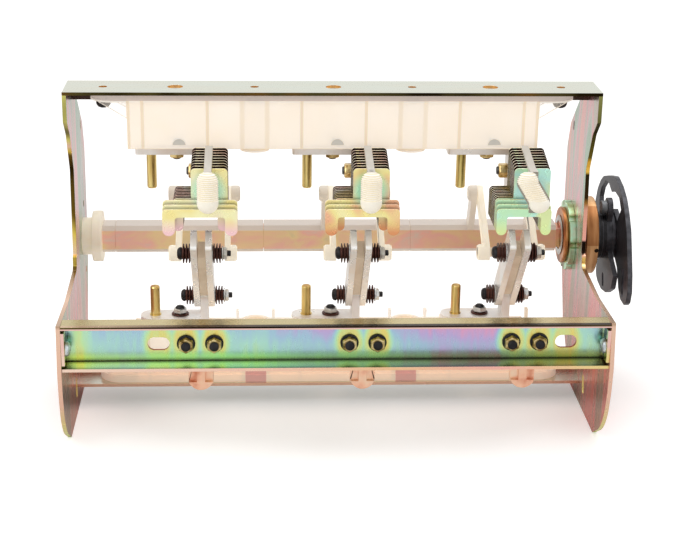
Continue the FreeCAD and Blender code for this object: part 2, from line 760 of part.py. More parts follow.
leg_low = upper_bar_low - upper_leg_length + bar_wall
side_bolt_y = hinge_y - side_bolt_back
side_bolt_z = upper_bar_low - side_bolt_drop
studs = []
clamps = []
discs = []
domes = []
for index, x in enumerate(phases, start=1):
    upper = contact_bar("upper_contact_%d" % index, x, upper_bar_low, leg_low, upper_bar_low, False)
    add_pocket(upper, "yz", x + contact_spread - leg_wall / 2, leg_wall,
               circles=[(side_bolt_y, side_bolt_z, side_bolt_radius)])
    hinge_top = hinge_z + bar_width / 2
    lower = contact_bar("lower_contact_%d" % index, x, lower_pad, lower_bar_high, hinge_top, True)
    add_pocket(lower, "yz", x + contact_spread - leg_wall / 2, leg_wall,
               circles=[(hinge_y, hinge_z, spring_bolt_radius + running_clearance)])
    stud_x = x - contact_spread
    for face, axis, exposed in ((upper_bar_low, "-z", stud_length), (lower_bar_high, "z", lower_stud_length)):
        seat_start = upper_pad if axis == "-z" else lower_pad
        seated = cylinder(axis, stud_x, hinge_y, seat_start, stud_seat_radius, bar_wall)
        studs.append(fused([seated, cylinder(axis, stud_x, hinge_y, face, stud_radius, exposed)]))
    grip = bar_wall + tray_pad + tray_wall
    for face, sense, inward, outward in ((upper_bar_low, -1, "z", "-z"), (lower_bar_high, 1, "-z", "z")):
        seat = face + sense * clamp_disc_wall if sense > 0 else face
        extra = clamp_disc_wall if sense > 0 else 0
        shank = cylinder(inward, x, hinge_y, seat, clamp_radius, grip + extra + dome_nut_height)
        head = hexagon(outward, x, hinge_y, seat, clamp_nut_radius, clamp_nut_height)
        clamps.append(fused([shank, head]))
        nut_face = face - sense * grip
        nut = hexagon(inward, x, hinge_y, nut_face, dome_nut_radius, dome_nut_height)
        domes.append(drilled(nut, cylinder(inward, x, hinge_y, nut_face, clamp_radius, dome_nut_height)))
    discs.append(ring("z", x, hinge_y, lower_bar_high, clamp_disc_radius, clamp_radius, clamp_disc_wall))
group("terminal_studs", studs)
group("clamp_bolts", clamps)
group("clamp_disc_washers", discs)
group("clamp_nuts", domes)


def earth_contact(label, x):
    """Copper contact behind the channel: base on the web, fin for the blades, notched round end."""
    base = [(x - earth_base_half, earth_bolt_height - earth_bolt_spread),
            (x + earth_base_half, earth_bolt_height - earth_bolt_spread),
            (x + earth_base_half, earth_bolt_height + earth_bolt_spread),
            (x - earth_base_half, earth_bolt_height + earth_bolt_spread)]
    holes = [(x + side * earth_bolt_spread, earth_bolt_height, earth_bolt_radius) for side in (-1, 1)]
    body = add_plate(label, "xz", -web_back, earth_base_wall, outline=base)
    round_edges(body, "xz", base, earth_base_wall)
    fin = [(-web_back + earth_base_wall, earth_fin_low), (-web_back + earth_fin_length, earth_fin_low),
           (-web_back + earth_fin_length, earth_fin_high), (-web_back + earth_base_wall, earth_fin_high)]
    add_pad(body, "yz", x - leg_wall / 2, leg_wall, outline=fin)
    tongue = [(x - leg_wall / 2, earth_window_low), (x + leg_wall / 2, earth_window_low),
              (x + leg_wall / 2, earth_bolt_height), (x - leg_wall / 2, earth_bolt_height)]
    add_pad(body, "xz", -web_back, earth_base_wall, outline=tongue)
    end_radius = earth_end_width / 2
    end_centre = earth_end_low + end_radius
    end_high = end_centre + comb_margin
    add_pad(body, "xz", -web_back, earth_base_wall, slots=[((x, end_centre), (x, end_high), end_radius)])
    plate_low = earth_end_low + end_radius / 2
    back_plate = [(x - end_radius, plate_low), (x + end_radius, plate_low), (x + end_radius, earth_plate_high),
                  (x - end_radius, earth_plate_high)]
    add_pad(body, "xz", -web_back + earth_base_wall, earth_base_wall, outline=back_plate)
    window_high = earth_bolt_height - earth_bolt_spread
    for side in (-1, 1):
        inner = x + side * leg_wall / 2
        outer = x + side * (end_radius + 1)
        low = earth_window_low
        window = [(inner, low), (outer, low), (outer, window_high), (inner, window_high)]
        add_pocket(body, "xz", -web_back, earth_base_wall, outline=window)
    add_pocket(body, "xz", -web_back, earth_base_wall, circles=holes)
    return body


earth_bolts = []
earth_nuts = []
for index, x in enumerate(phases, start=1):
    earth_contact("earth_contact_%d" % index, x + contact_spread)
    for side in (-1, 1):
        bolt_x = x + contact_spread + side * earth_bolt_spread
        grip = channel_wall + earth_base_wall
        back = -web_back + earth_base_wall
        shank_length = grip + earth_washer_wall + earth_nut_height + earth_bolt_tail
        shank = cylinder("-y", bolt_x, back, earth_bolt_height, earth_bolt_radius, shank_length)
        head = cylinder("y", bolt_x, back, earth_bolt_height, earth_nut_radius, earth_base_wall)
        earth_bolts.append(fused([shank, head]))
        washer = cylinder("-y", bolt_x, web_front, earth_bolt_height, earth_washer_radius,
                          earth_washer_wall)
        nut = hexagon("-y", bolt_x, web_front - earth_washer_wall, earth_bolt_height, earth_nut_radius,
                      earth_nut_height)
        bore = cylinder("-y", bolt_x, web_front, earth_bolt_height, earth_bolt_radius,
                        earth_washer_wall + earth_nut_height)
        earth_nuts.append(drilled(fused([washer, nut]), bore))
group("earth_bolts", earth_bolts)
group("earth_nuts", earth_nuts)


comb_middle = contact_spread + leg_wall / 2 + comb_wall / 2
slot_half_width = comb_wall / 2 + comb_fit
comb_low = chute_shoulder + bar_wall


def splitter_plate(label, x, place_y, top):
    """Tall plate: slotted neck set to one side, wide shoulder, two legs round the blades' path."""
    middle = x + contact_spread
    left = middle - chute_half_width
    right = middle + chute_half_width
    neck = right - chute_neck_width
    slot = x + comb_middle
    outline = [
        (left, chute_leg_end), (left + chute_leg_width, chute_leg_end), (left + chute_leg_width, chute_bar),
        (right - chute_leg_width, chute_bar), (right - chute_leg_width, chute_leg_end),
        (right, chute_leg_end),
        (right, top), (slot + slot_half_width, top), (slot + slot_half_width, comb_low),
        (slot - slot_half_width, comb_low), (slot - slot_half_width, top), (neck, top),
        (neck, chute_shoulder),
        (left, chute_shoulder)]
    body = add_plate(label, "xz", place_y, chute_plate_wall, outline=outline)
    round_edges(body, "xz", [outline[i] for i in (0, 1, 4, 5)], chute_leg_width / 2 - 0.01)
    round_edges(body, "xz", [outline[i] for i in (6, 11, 13)], chute_leg_width / 2.5)
    return body


def front_plate(label, x, place_y, high, half_width, leg):
    """Low plate in front of the tall ones: a bar with two round-ended legs and a slot for the comb."""
    middle = x + contact_spread
    slot = x + comb_middle
    outline = [
        (middle - half_width, chute_leg_end), (middle - half_width + leg, chute_leg_end),
        (middle - half_width + leg, chute_bar), (middle + half_width - leg, chute_bar),
        (middle + half_width - leg, chute_leg_end), (middle + half_width, chute_leg_end),
        (middle + half_width, high), (slot + slot_half_width, high), (slot + slot_half_width, rail_low),
        (slot - slot_half_width, rail_low), (slot - slot_half_width, high), (middle - half_width, high)]
    body = add_plate(label, "xz", place_y, chute_plate_wall, outline=outline)
    round_edges(body, "xz", [outline[i] for i in (0, 1, 4, 5)], leg / 2 - 0.01)
    round_edges(body, "xz", [outline[i] for i in (2, 3)], leg / 4)
    round_edges(body, "xz", [outline[i] for i in (6, 11)], leg / 3)
    return body


def arc_comb(label, x, skew):
    """Insulating strip in the plates' slots, fixed to the contact leg, with a round nose in front."""
    slot = x + comb_middle
    rear = side_bolt_y + comb_eye
    front = -chute_back - (tall_plate_count + front_plate_count - 1) * chute_pitch - comb_margin
    tall_front = -chute_back - (tall_plate_count - 1) * chute_pitch
    top_front = chute_top - (tall_plate_count - 1) * chute_top_step
    low_front = tall_front - chute_pitch + 2 * chute_plate_wall
    back = -chute_back + bar_wall
    strip = [(front, rail_low), (low_front, rail_low), (low_front, comb_low),
             (2 * chute_plate_wall - chute_back, comb_low),
             (rear, side_bolt_z - comb_eye), (rear, side_bolt_z + comb_eye),
             (back, upper_pad - comb_margin), (back, chute_top + comb_margin),
             (tall_front - comb_margin, top_front + comb_margin), (front, comb_low + nose_rise)]
    body = add_plate(label, "yz", slot - comb_wall / 2, comb_wall, outline=strip,
                     circles=[(side_bolt_y, side_bolt_z, side_bolt_radius)])
    radius = nose_width / 2
    nose_high = comb_low + nose_rise - radius
    add_pad(body, "xz", front - nose_depth, nose_depth,
            slots=[((slot + skew, nose_end + radius), (slot - skew, nose_high), radius)])
    return body


side_bolts = []
for index, x in enumerate(phases, start=1):
    tall = []
    for i in range(tall_plate_count):
        place_y = -chute_back - chute_pitch * i
        plate_top = chute_top - chute_top_step * i
        tall.append(splitter_plate("splitter_%d_%d" % (index, i + 1), x, place_y, plate_top))
    half_width, leg, skew = (chute_wide_half, chute_wide_leg, 0)
    if index == phase_count:
        half_width, leg, skew = (chute_half_width, chute_leg_width, nose_skew)
    for i in range(front_plate_count):
        place_y = -chute_back - chute_pitch * (tall_plate_count + i)
        tall.append(front_plate("low_plate_%d_%d" % (index, i + 1), x, place_y,
                                chute_shoulder - chute_front_step * i, half_width, leg))
    group("arc_plates_%d" % index, tall)
    arc_comb("arc_comb_%d" % index, x, skew)
    right_face = x + comb_middle + comb_wall / 2
    grip = leg_wall + comb_wall
    shank = cylinder("-x", right_face, side_bolt_y, side_bolt_z, side_bolt_radius, grip)
    head = hexagon("x", right_face, side_bolt_y, side_bolt_z, clamp_nut_radius, side_head_height)
    nut = hexagon("-x", right_face - grip, side_bolt_y, side_bolt_z, clamp_nut_radius,
                  side_nut_height)
    side_bolts.append(fused([shank, head, nut]))
group("arc_side_bolts", side_bolts)


def blade_frame(item, x):
    """Put a piece that is drawn upright on the hinge and lean it forward."""
    return place(item, x, hinge_y, hinge_z, turn=(Vector(1, 0, 0), blade_lean))


cross_side = crank_radius * sine(blade_lean - crank_lean)
cross_along = crank_radius * cosine(blade_lean - crank_lean)


def blades(label, x):
    """Two flat blades, round at the hinge, bevelled at the tip."""
    pair = []
    half = blade_width / 2
    for side in (-1, 1):
        start = blade_half if side > 0 else -blade_outer
        body = new_body("%s_%s" % (label, "right" if side > 0 else "left"))
        outline = [(-half, -half), (half, -half), (half, blade_reach), (-half, blade_reach)]
        add_pad(body, "yz", start, blade_wall, outline=outline,
                circles=[(0, 0, spring_bolt_radius), (0, spring_bolt_reach, spring_bolt_radius)])
        round_edges(body, "yz", outline[:2], half - 0.01)
        round_edges(body, "yz", outline[2:], blade_tip_bevel)
        pair.append(blade_frame(body, x))
    return group(label, pair)


def blade_spacer(label, x):
    """Moulded spacer between the blades with a rear ear and a cross pin."""
    half = spacer_width / 2
    ear = cross_pin_radius + spacer_ear
    body = new_body(label)
    outline = [(-half, spacer_start), (half, spacer_start),
               (cross_side + ear, cross_along - ear), (cross_side + ear, cross_along + ear),
               (half, cross_along + spacer_slope), (half, spacer_end), (-half, spacer_end)]
    add_pad(body, "yz", -spacer_wall / 2, spacer_wall, outline=outline,
            circles=[(0, spring_bolt_reach, sleeve_radius)])
    round_edges(body, "yz", outline[2:4], cross_pin_radius)
    pin_half = link_inner + link_wall + link_boss_proud
    add_pad(body, "yz", -pin_half, 2 * pin_half, circles=[(cross_side, cross_along, cross_pin_radius)])
    return blade_frame(body, x)


def spring_bolts(label, x):
    """Two bolts through the blades, each with a round head and a nut."""
    items = []
    stack = washers_in_stack * washer_pitch
    for along in (0, spring_bolt_reach):
        y = hinge_y - along * sine(blade_lean)
        z = hinge_z + along * cosine(blade_lean)
        reach = blade_outer + stack
        shank_length = 2 * reach + spring_nut_height + spring_bolt_tail
        shank = cylinder("x", x - reach, y, z, spring_bolt_radius, shank_length)
        head = cone("-x", x - reach, y, z, spring_bolt_head, spring_bolt_head * 0.7, spring_head_height)
        nut = hexagon("x", x + reach, y, z, spring_nut_radius, spring_nut_height)
        items.append(fused([shank, head, nut]))
        if along:
            items.append(ring("x", x - blade_half, y, z, sleeve_radius, spring_bolt_radius, blade_gap))
    return group(label, items)


def spring_washers(label, x):
    """Cupped washers, three under each bolt head and three under each nut."""
    items = []
    bore = spring_bolt_radius + washer_clearance
    for along in (0, spring_bolt_reach):
        y = hinge_y - along * sine(blade_lean)
        z = hinge_z + along * cosine(blade_lean)
        for side, axis in ((-1, "-x"), (1, "x")):
            for i in range(washers_in_stack):
                start = x + side * (blade_outer + i * washer_pitch)
                disc = cone(axis, start, y, z, washer_radius - washer_cup, washer_radius, washer_wall)
                collar = cylinder(axis, start, y, z, bore + 1, washer_pitch)
                hole = cylinder(axis, start, y, z, bore, washer_pitch)
                items.append(drilled(fused([disc, collar]), hole))
    return group(label, items)


def link(label, x):
    """Two flat cheeks from the crank pins to the cross pin, thick round ends at the front."""
    pair = []
    deep = link_wall + link_boss_proud
    cross_hole = (cross_y, cross_z, cross_pin_radius + running_clearance)
    crank_hole = (crank_y, crank_z, crank_pin_radius + running_clearance)
    for side in (-1, 1):
        start = x + link_inner if side > 0 else x - link_inner - link_wall
        boss_start = x + link_inner if side > 0 else x - link_inner - deep
        body = new_body("%s_%s" % (label, "right" if side > 0 else "left"))
        add_pad(body, "yz", start, link_wall, slots=[((cross_y, cross_z), (crank_y, crank_z), link_radius)])
        add_pad(body, "yz", boss_start, deep, circles=[(cross_y, cross_z, link_radius)])
        add_pocket(body, "yz", boss_start, deep, circles=[cross_hole])
        add_pocket(body, "yz", start, link_wall, circles=[crank_hole])
        pair.append(body)
    return group(label, pair)


def chamfered_square(y, z, side, chamfer):
    half = side / 2
    cut = half - chamfer
    corners = [(half, -cut), (half, cut), (cut, half), (-cut, half), (-half, cut), (-half, -cut), (-cut, -half),
               (cut, -half)]
    return [(y + a, z + b) for a, b in corners]


bar_section = square(shaft_y, shaft_z, shaft_square)


def crank(label, x, blade_x):
    """Insulating sleeve on the square shaft with two crank arms and their bosses."""
    body = new_body(label)
    start = x - seam_offset + sleeve_gap / 2
    boss_deep = crank_wall + crank_boss_proud
    centre_line = ((shaft_y, shaft_z), (crank_y, crank_z), crank_boss_radius)
    add_pad(body, "yz", start, phase_pitch - sleeve_gap,
            outline=chamfered_square(shaft_y, shaft_z, sleeve_square, sleeve_chamfer))
    bosses = [blade_x - crank_inner - boss_deep, blade_x + crank_inner]
    for boss, arm in zip(bosses, (blade_x - crank_inner - crank_wall, blade_x + crank_inner)):
        add_pad(body, "yz", arm, crank_wall, slots=[centre_line])
        add_pad(body, "yz", boss, boss_deep, circles=[(crank_y, crank_z, crank_boss_radius)])
    add_pocket(body, "yz", start, phase_pitch - sleeve_gap, outline=bar_section)
    for boss in bosses:
        add_pocket(body, "yz", boss, boss_deep, circles=[(crank_y, crank_z, crank_pin_radius)])
    return body


crank_pins = []
for index, x in enumerate(phases, start=1):
    blade_x = x + contact_spread
    blades("blade_pair_%d" % index, blade_x)
    blade_spacer("blade_spacer_%d" % index, blade_x)
    spring_bolts("spring_bolts_%d" % index, blade_x)
    spring_washers("spring_washers_%d" % index, blade_x)
    link("link_%d" % index, blade_x)
    crank("crank_%d" % index, x, blade_x)
    for side, axis in ((-1, "-x"), (1, "x")):
        pin_start = blade_x + side * link_inner
        crank_pins.append(cylinder(axis, pin_start, crank_y, crank_z, crank_pin_radius,
                                   crank_inner - link_inner + crank_wall + crank_boss_proud))
group("crank_pins", crank_pins)

# Square shaft with a round journal at each end, and the short sleeve at its left end
left_flange_start = -half_inner + left_flange_gap
left_face = left_flange_start + left_flange_wall + running_clearance
first_seam = phases[0] - seam_offset
last_seam = phases[-1] - seam_offset + phase_pitch
bush_start = half_inner - lock_nut_wall - bush_flange_wall
shaft = new_body("drive_shaft")
square_start = left_face
square_end = bush_start - running_clearance
add_pad(shaft, "yz", square_start, square_end - square_start, outline=bar_section)
add_pad(shaft, "yz", -half_inner - plate_wall, half_inner + plate_wall + square_start,
        circles=[(shaft_y, shaft_z, left_journal_radius)])
shaft_end = half_inner + plate_wall + disc_start + disc_wall + boss_wall + 2 * lever_wall + hub_wall
shaft_end = shaft_end + end_nut_wall
add_pad(shaft, "yz", square_end, shaft_end - square_end, circles=[(shaft_y, shaft_z, right_journal_radius)])

end_sleeve = new_body("end_sleeve")
add_pad(end_sleeve, "yz", left_face, first_seam - sleeve_gap / 2 - left_face,
        outline=chamfered_square(shaft_y, shaft_z, sleeve_square, sleeve_chamfer))
add_pocket(end_sleeve, "yz", left_face, first_seam - sleeve_gap / 2 - left_face, outline=bar_section)

# Left bearing: moulded collar with a neck in the side plate
left_bearing = new_body("left_bearing")
left_bore = left_journal_radius + running_clearance
add_pad(left_bearing, "yz", left_flange_start, left_flange_wall,
        circles=[(shaft_y, shaft_z, left_flange_radius), (shaft_y, shaft_z, left_bore)])
add_pad(left_bearing, "yz", -half_inner - plate_wall, plate_wall + left_flange_gap,
        circles=[(shaft_y, shaft_z, left_neck_radius), (shaft_y, shaft_z, left_bore)])

# Right bearing: bronze bush held to the side plate by a notched lock nut
right_bearing = new_body("right_bearing")
right_bore = right_journal_radius + running_clearance
add_pad(right_bearing, "yz", bush_start, bush_flange_wall,
        circles=[(shaft_y, shaft_z, bush_flange_radius), (shaft_y, shaft_z, right_bore)])
add_pad(right_bearing, "yz", bush_start + bush_flange_wall, lock_nut_wall + plate_wall,
        circles=[(shaft_y, shaft_z, bush_neck_radius), (shaft_y, shaft_z, right_bore)])

lock_nut = new_body("bearing_lock_nut")
add_pad(lock_nut, "yz", half_inner - lock_nut_wall, lock_nut_wall,
        circles=[(shaft_y, shaft_z, lock_nut_radius), (shaft_y, shaft_z, bush_neck_radius)])
notches = []
for i in range(notch_count):
    angle = 360.0 / notch_count * i
    notches.append((shaft_y + lock_nut_radius * cosine(angle), shaft_z + lock_nut_radius * sine(angle),
                    lock_notch_radius))
add_pocket(lock_nut, "yz", half_inner - lock_nut_wall, lock_nut_wall, circles=notches)

# Drive disc, levers, collar and end nut on the outer end of the shaft
outside = half_inner + plate_wall
disc_face = outside + disc_start
drive_disc = new_body("drive_disc")
add_pad(drive_disc, "yz", disc_face, disc_wall,
        circles=[(shaft_y, shaft_z, disc_radius), (shaft_y, shaft_z, right_journal_radius)])
add_pad(drive_disc, "yz", outside + disc_clearance, disc_start - disc_clearance,
        circles=[(shaft_y, shaft_z, disc_neck_radius), (shaft_y, shaft_z, right_journal_radius)])


def about_shaft(points):
    return [(shaft_y + y, shaft_z + z) for y, z in points]


# Drive lever: a boss against the disc, a wide arm below and an ear above that carries a roller
boss_face = disc_face + disc_wall
lever_face = boss_face + boss_wall
centre = (shaft_y, shaft_z)
lever_arm = about_shaft(cell_points("lever_arm", [
    (0.0, 0.0), (2.0, -18.0), (17.0, -33.0), (24.0, -49.0), (11.0, -55.0), (-8.0, -57.0), (-30.0, -53.0),
    (-52.0, -41.0), (-58.0, -25.0), (-22.0, -9.0)]))
lever_slot_high, lever_slot_low, lever_ear = about_shaft(
    cell_points("lever", [(-12.0, -41.0), (-15.0, -48.0), (-8.0, 32.0)]))
lever_arm_round = cell("lever_arm_round", 8.0)
lever_ear_radius = cell("lever_ear_radius", 10.0)
lever_slot_radius = cell("lever_slot_radius", 3.5)
roller_radius = cell("roller_radius", 7.0)
roller_pin_radius = cell("roller_pin_radius", 4.0)
roller_wall = cell("roller_wall", 6.0)
drive_lever = add_plate("drive_lever", "yz", lever_face, lever_wall, outline=lever_arm)
round_edges(drive_lever, "yz", lever_arm[3:8], lever_arm_round)
add_pad(drive_lever, "yz", lever_face, lever_wall, slots=[(centre, lever_ear, lever_ear_radius)])
add_pad(drive_lever, "yz", boss_face, boss_wall + lever_wall, circles=[(shaft_y, shaft_z, hub_radius)])
add_pocket(drive_lever, "yz", boss_face, boss_wall + lever_wall,
           circles=[(shaft_y, shaft_z, right_journal_radius)])
add_pocket(drive_lever, "yz", lever_face, lever_wall,
           circles=[(lever_ear[0], lever_ear[1], roller_pin_radius)],
           slots=[(lever_slot_low, lever_slot_high, lever_slot_radius)])
roller_face = lever_face - roller_wall
roller = fused([cylinder("x", lever_face, lever_ear[0], lever_ear[1], roller_pin_radius, lever_wall),
                cylinder("x", roller_face, lever_ear[0], lever_ear[1], roller_radius, roller_wall)])
roller.Label = "lever_roller"

hub_face = lever_face + lever_wall
drive_hub = new_body("drive_hub")
add_pad(drive_hub, "yz", hub_face, hub_wall,
        circles=[(shaft_y, shaft_z, hub_radius), (shaft_y, shaft_z, right_journal_radius)])

# Sector lever: broad curved band with a window between band and hub
sector_face = hub_face + hub_wall
sector_edge = about_shaft(cell_points("sector_edge", [
    (88.0, 3.0), (87.0, 12.0), (80.0, 27.0), (68.5, 39.0), (56.0, 47.0), (32.0, 54.5), (6.0, 61.0),
    (-18.0, 57.0), (-37.0, 49.5), (-51.0, 38.5), (-63.5, 25.0), (-73.0, 5.0), (-82.5, -16.0), (-86.0, -33.0),
    (-82.0, -45.0), (-75.0, -50.0), (-57.0, -50.0), (-46.0, -42.0), (-39.5, -32.0), (-33.0, -24.0),
    (-18.0, -17.0), (0.0, -25.0), (18.0, -17.0), (74.0, -2.0)]))
sector_window = about_shaft(cell_points("sector_window", [
    (44.0, 46.0), (29.5, 47.0), (13.5, 42.0), (-2.0, 47.0), (-21.5, 46.0), (-33.0, 37.0), (-20.0, 21.0),
    (0.0, 28.0), (20.0, 20.0), (28.0, 8.0), (66.0, 12.0), (68.5, 21.0), (63.0, 32.0)]))
sector_slot = about_shaft(cell_points("sector_slot", [(-61.0, -20.0), (-64.0, -41.0)]))
sector_round = cell("sector_round", 25.0)
sector_slot_radius = cell("sector_slot_radius", 4.0)
sector_lever = add_plate("sector_lever", "yz", sector_face, lever_wall, outline=sector_edge,
                         windows=[sector_window])
add_pad(sector_lever, "yz", sector_face, lever_wall, circles=[(shaft_y, shaft_z, hub_radius)])
add_pocket(sector_lever, "yz", sector_face, lever_wall, circles=[(shaft_y, shaft_z, right_journal_radius)],
           slots=[(sector_slot[0], sector_slot[1], sector_slot_radius)])
round_edges(sector_lever, "yz", [sector_edge[i] for i in (0, 14, 15, 16, 23)], sector_slot_radius)
round_edges(sector_lever, "yz", sector_edge[2:11] + [sector_edge[12]], sector_round)

nut_face = sector_face + lever_wall
end_nut = drilled(hexagon("x", nut_face, shaft_y, shaft_z, end_nut_radius, end_nut_wall),
                  cylinder("x", nut_face, shaft_y, shaft_z, right_journal_radius, end_nut_wall))
end_nut.Label = "shaft_end_nut"

node_names = ["left_side_plate", "right_side_plate", "top_beam", "bottom_beam", "front_channel",
              "frame_screws", "upper_tray", "lower_tray", "terminal_studs", "clamp_bolts",
              "clamp_disc_washers", "clamp_nuts", "earth_bolts", "earth_nuts", "arc_side_bolts", "crank_pins",
              "drive_shaft", "end_sleeve", "left_bearing", "right_bearing", "bearing_lock_nut", "drive_disc",
              "drive_lever", "lever_roller", "drive_hub", "sector_lever", "shaft_end_nut"]
for stem in ("upper_contact", "lower_contact", "earth_contact", "arc_plates", "arc_comb",
             "blade_pair", "blade_spacer", "spring_bolts", "spring_washers", "link", "crank"):
    node_names += ["%s_%d" % (stem, i + 1) for i in range(phase_count)]

doc.recompute()
failed = [item.Label for item in doc.Objects if "Invalid" in item.State or "Error" in item.State]
if failed:
    raise RuntimeError("not built: " + ", ".join(failed))

# The origin goes to the middle of the footprint, at floor level
nodes = [doc.getObjectsByLabel(name)[0] for name in node_names]
box = FreeCAD.BoundBox()
for node in nodes:
    if node.Shape.isNull() or not node.Shape.isValid():
        raise RuntimeError("bad shape: " + node.Label)
    box.add(node.Shape.BoundBox)
to_origin = Placement(Vector(-box.Center.x, -box.Center.y, -box.ZMin), Rotation())

os.makedirs("parts", exist_ok=True)
for node in nodes:
    shape = node.Shape.copy()
    shape.Placement = to_origin.multiply(shape.Placement)
    shape.exportStep("parts/%s.step" % node.Label)
print("origin shift", [round(v, 3) for v in to_origin.Base], "nodes", len(nodes))
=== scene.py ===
import math

import bmesh
import bpy
from mathutils import Matrix, Vector


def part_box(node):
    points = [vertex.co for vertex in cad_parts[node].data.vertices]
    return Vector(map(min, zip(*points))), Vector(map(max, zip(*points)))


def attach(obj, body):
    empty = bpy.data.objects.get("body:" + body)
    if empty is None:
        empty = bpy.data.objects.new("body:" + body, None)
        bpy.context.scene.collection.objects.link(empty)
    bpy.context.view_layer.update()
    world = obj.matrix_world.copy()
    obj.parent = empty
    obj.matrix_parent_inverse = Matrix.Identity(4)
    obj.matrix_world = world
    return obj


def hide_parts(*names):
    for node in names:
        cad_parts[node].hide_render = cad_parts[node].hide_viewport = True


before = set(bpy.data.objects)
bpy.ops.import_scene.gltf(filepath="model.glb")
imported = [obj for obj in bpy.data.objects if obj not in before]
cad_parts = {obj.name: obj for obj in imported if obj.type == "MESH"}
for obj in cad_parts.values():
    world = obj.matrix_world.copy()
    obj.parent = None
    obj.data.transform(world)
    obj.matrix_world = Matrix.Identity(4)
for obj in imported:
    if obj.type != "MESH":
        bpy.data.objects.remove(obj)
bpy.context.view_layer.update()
bpy.ops.object.select_all(action="DESELECT")

# The camera stands in front of the switch, a little to its left and above, and looks down on the channel.
# Its place and lens were worked out from the frame's own corners in the photograph.
image_width, focal_pixels = 679, 1600
yaw, pitch, roll = math.radians(3.04), math.radians(19.55), math.radians(0.80)
forward = Vector((math.sin(yaw) * math.cos(pitch), math.cos(yaw) * math.cos(pitch), -math.sin(pitch)))
level = forward.cross(Vector((0, 0, 1))).normalized()
upright = level.cross(forward)
right = level * math.cos(roll) + upright * math.sin(roll)
up = upright * math.cos(roll) - level * math.sin(roll)
turn = Matrix((right, up, -forward)).transposed()
bpy.ops.object.camera_add(location=(-0.097, -1.494843, 0.663), rotation=turn.to_euler())
camera = bpy.context.object
camera.data.sensor_width = 36
camera.data.lens = focal_pixels / image_width * 36
camera.data.shift_y = -2.5 / image_width
bpy.context.scene.camera = camera
bpy.context.scene.view_settings.view_transform = "Standard"

# The white studio: a pale paper floor, a white room that metal and plastic mirror, and two large soft lamps.
# The paper shines a little for the camera alone, so it stays white round the object and keeps its shadow; its
# shine is weaker right under the object, a painted shade.


def fill(node, inputs):
    """Give a node its inputs, which are values or other nodes' sockets."""
    for key, value in inputs.items():
        if isinstance(value, bpy.types.NodeSocket):
            node.id_data.links.new(value, node.inputs[key])
        else:
            node.inputs[key].default_value = value


def add_node(kind, inputs, **settings):
    """A new shader node with its inputs and settings, in the tree of the first socket among its inputs."""
    tree = next(value.id_data for value in inputs.values() if isinstance(value, bpy.types.NodeSocket))
    made = tree.nodes.new("ShaderNode" + kind)
    for key, value in settings.items():
        setattr(made, key, value)
    fill(made, inputs)
    return made


def add_math(operation, first, second=0.0, third=0.0):
    """Arithmetic on up to three values, of which one at least is a socket."""
    return add_node("Math", {0: first, 1: second, 2: third}, operation=operation).outputs[0]


def measure(operation, first, second=(0, 0, 0)):
    """A number from one or two vectors, such as a length or a distance."""
    return add_node("VectorMath", {0: first, 1: second}, operation=operation).outputs["Value"]


def add_fade(value, low, high, start=0.0, end=1.0, kind="LINEAR"):
    """A number that goes from start to end as the value goes from low to high."""
    limits = {"Value": value, "From Min": low, "From Max": high, "To Min": start, "To Max": end}
    return add_node("MapRange", limits, interpolation_type=kind).outputs[0]


def add_stretch(coords, scale):
    """The object's own coordinates, drawn out or squeezed along its axes."""
    return add_node("Mapping", {"Vector": coords["Object"], "Scale": scale}).outputs["Vector"]


def new_material(name, inputs):
    """A material with its shader and its coordinates."""
    made = bpy.data.materials.new(name)
    made.use_nodes = True
    shader = made.node_tree.nodes["Principled BSDF"]
    fill(shader, inputs)
    return made, shader, made.node_tree.nodes.new("ShaderNodeTexCoord").outputs


bpy.ops.mesh.primitive_plane_add(size=12)
floor = bpy.context.object
floor.name = "floor"
paper, shader, coords = new_material("floor_paper", {
    "Base Color": (0.86, 0.845, 0.83, 1), "Roughness": 1.0, "Specular IOR Level": 0.0,
    "Emission Color": (1, 1, 1, 1)})
from_object = measure("LENGTH", add_stretch(coords, (0.5, 1.0, 1.0)))
# Painted shade: the paper glows less right under the object.
painted_glow = add_fade(from_object, 0.11, 0.18, 0.26, 0.48, "SMOOTHSTEP")
for_camera = paper.node_tree.nodes.new("ShaderNodeLightPath").outputs["Is Camera Ray"]
fill(shader, {"Emission Strength": add_math("MULTIPLY", for_camera, painted_glow)})
floor.data.materials.append(paper)

world = bpy.data.worlds.new("studio")
world.use_nodes = True
path = world.node_tree.nodes.new("ShaderNodeLightPath").outputs
seen = add_math("MAXIMUM", path["Is Camera Ray"], path["Is Transmission Ray"])
seen_in_metal = add_math("MAXIMUM", seen, path["Is Glossy Ray"])
brightness = add_fade(seen_in_metal, 0.0, 1.0, 0.62, 1.0)
fill(world.node_tree.nodes["Background"], {"Color": (1, 1, 1, 1), "Strength": brightness})
bpy.context.scene.world = world

for lamp_name, place, size, power in (("left_lamp", (-1.3, -0.9, 1.5), 1.2, 9.0),
                                      ("top_lamp", (0.4, 0.3, 2.1), 1.6, 13.0)):
    aim = (Vector((0, 0, 0.15)) - Vector(place)).to_track_quat("-Z", "Y").to_euler()
    bpy.ops.object.light_add(type="AREA", location=place, rotation=aim)
    lamp = bpy.context.object
    lamp.name = lamp_name
    lamp.data.size = size
    lamp.data.energy = power
bpy.ops.object.select_all(action="DESELECT")

# Side plates: two 4 mm sheets cut to a bracket shape, zinc plated and passivated to a yellow iridescence.
# They stand on the floor and carry the beams, the channel and the shaft's bearings; their toes are round.


def paint(colour):
    """A colour as the eye names it, 0 to 255, as the linear colour a material takes; a socket as it is."""
    if isinstance(colour, bpy.types.NodeSocket):
        return colour
    return tuple((part / 255) ** 2.2 for part in colour) + (1.0,)


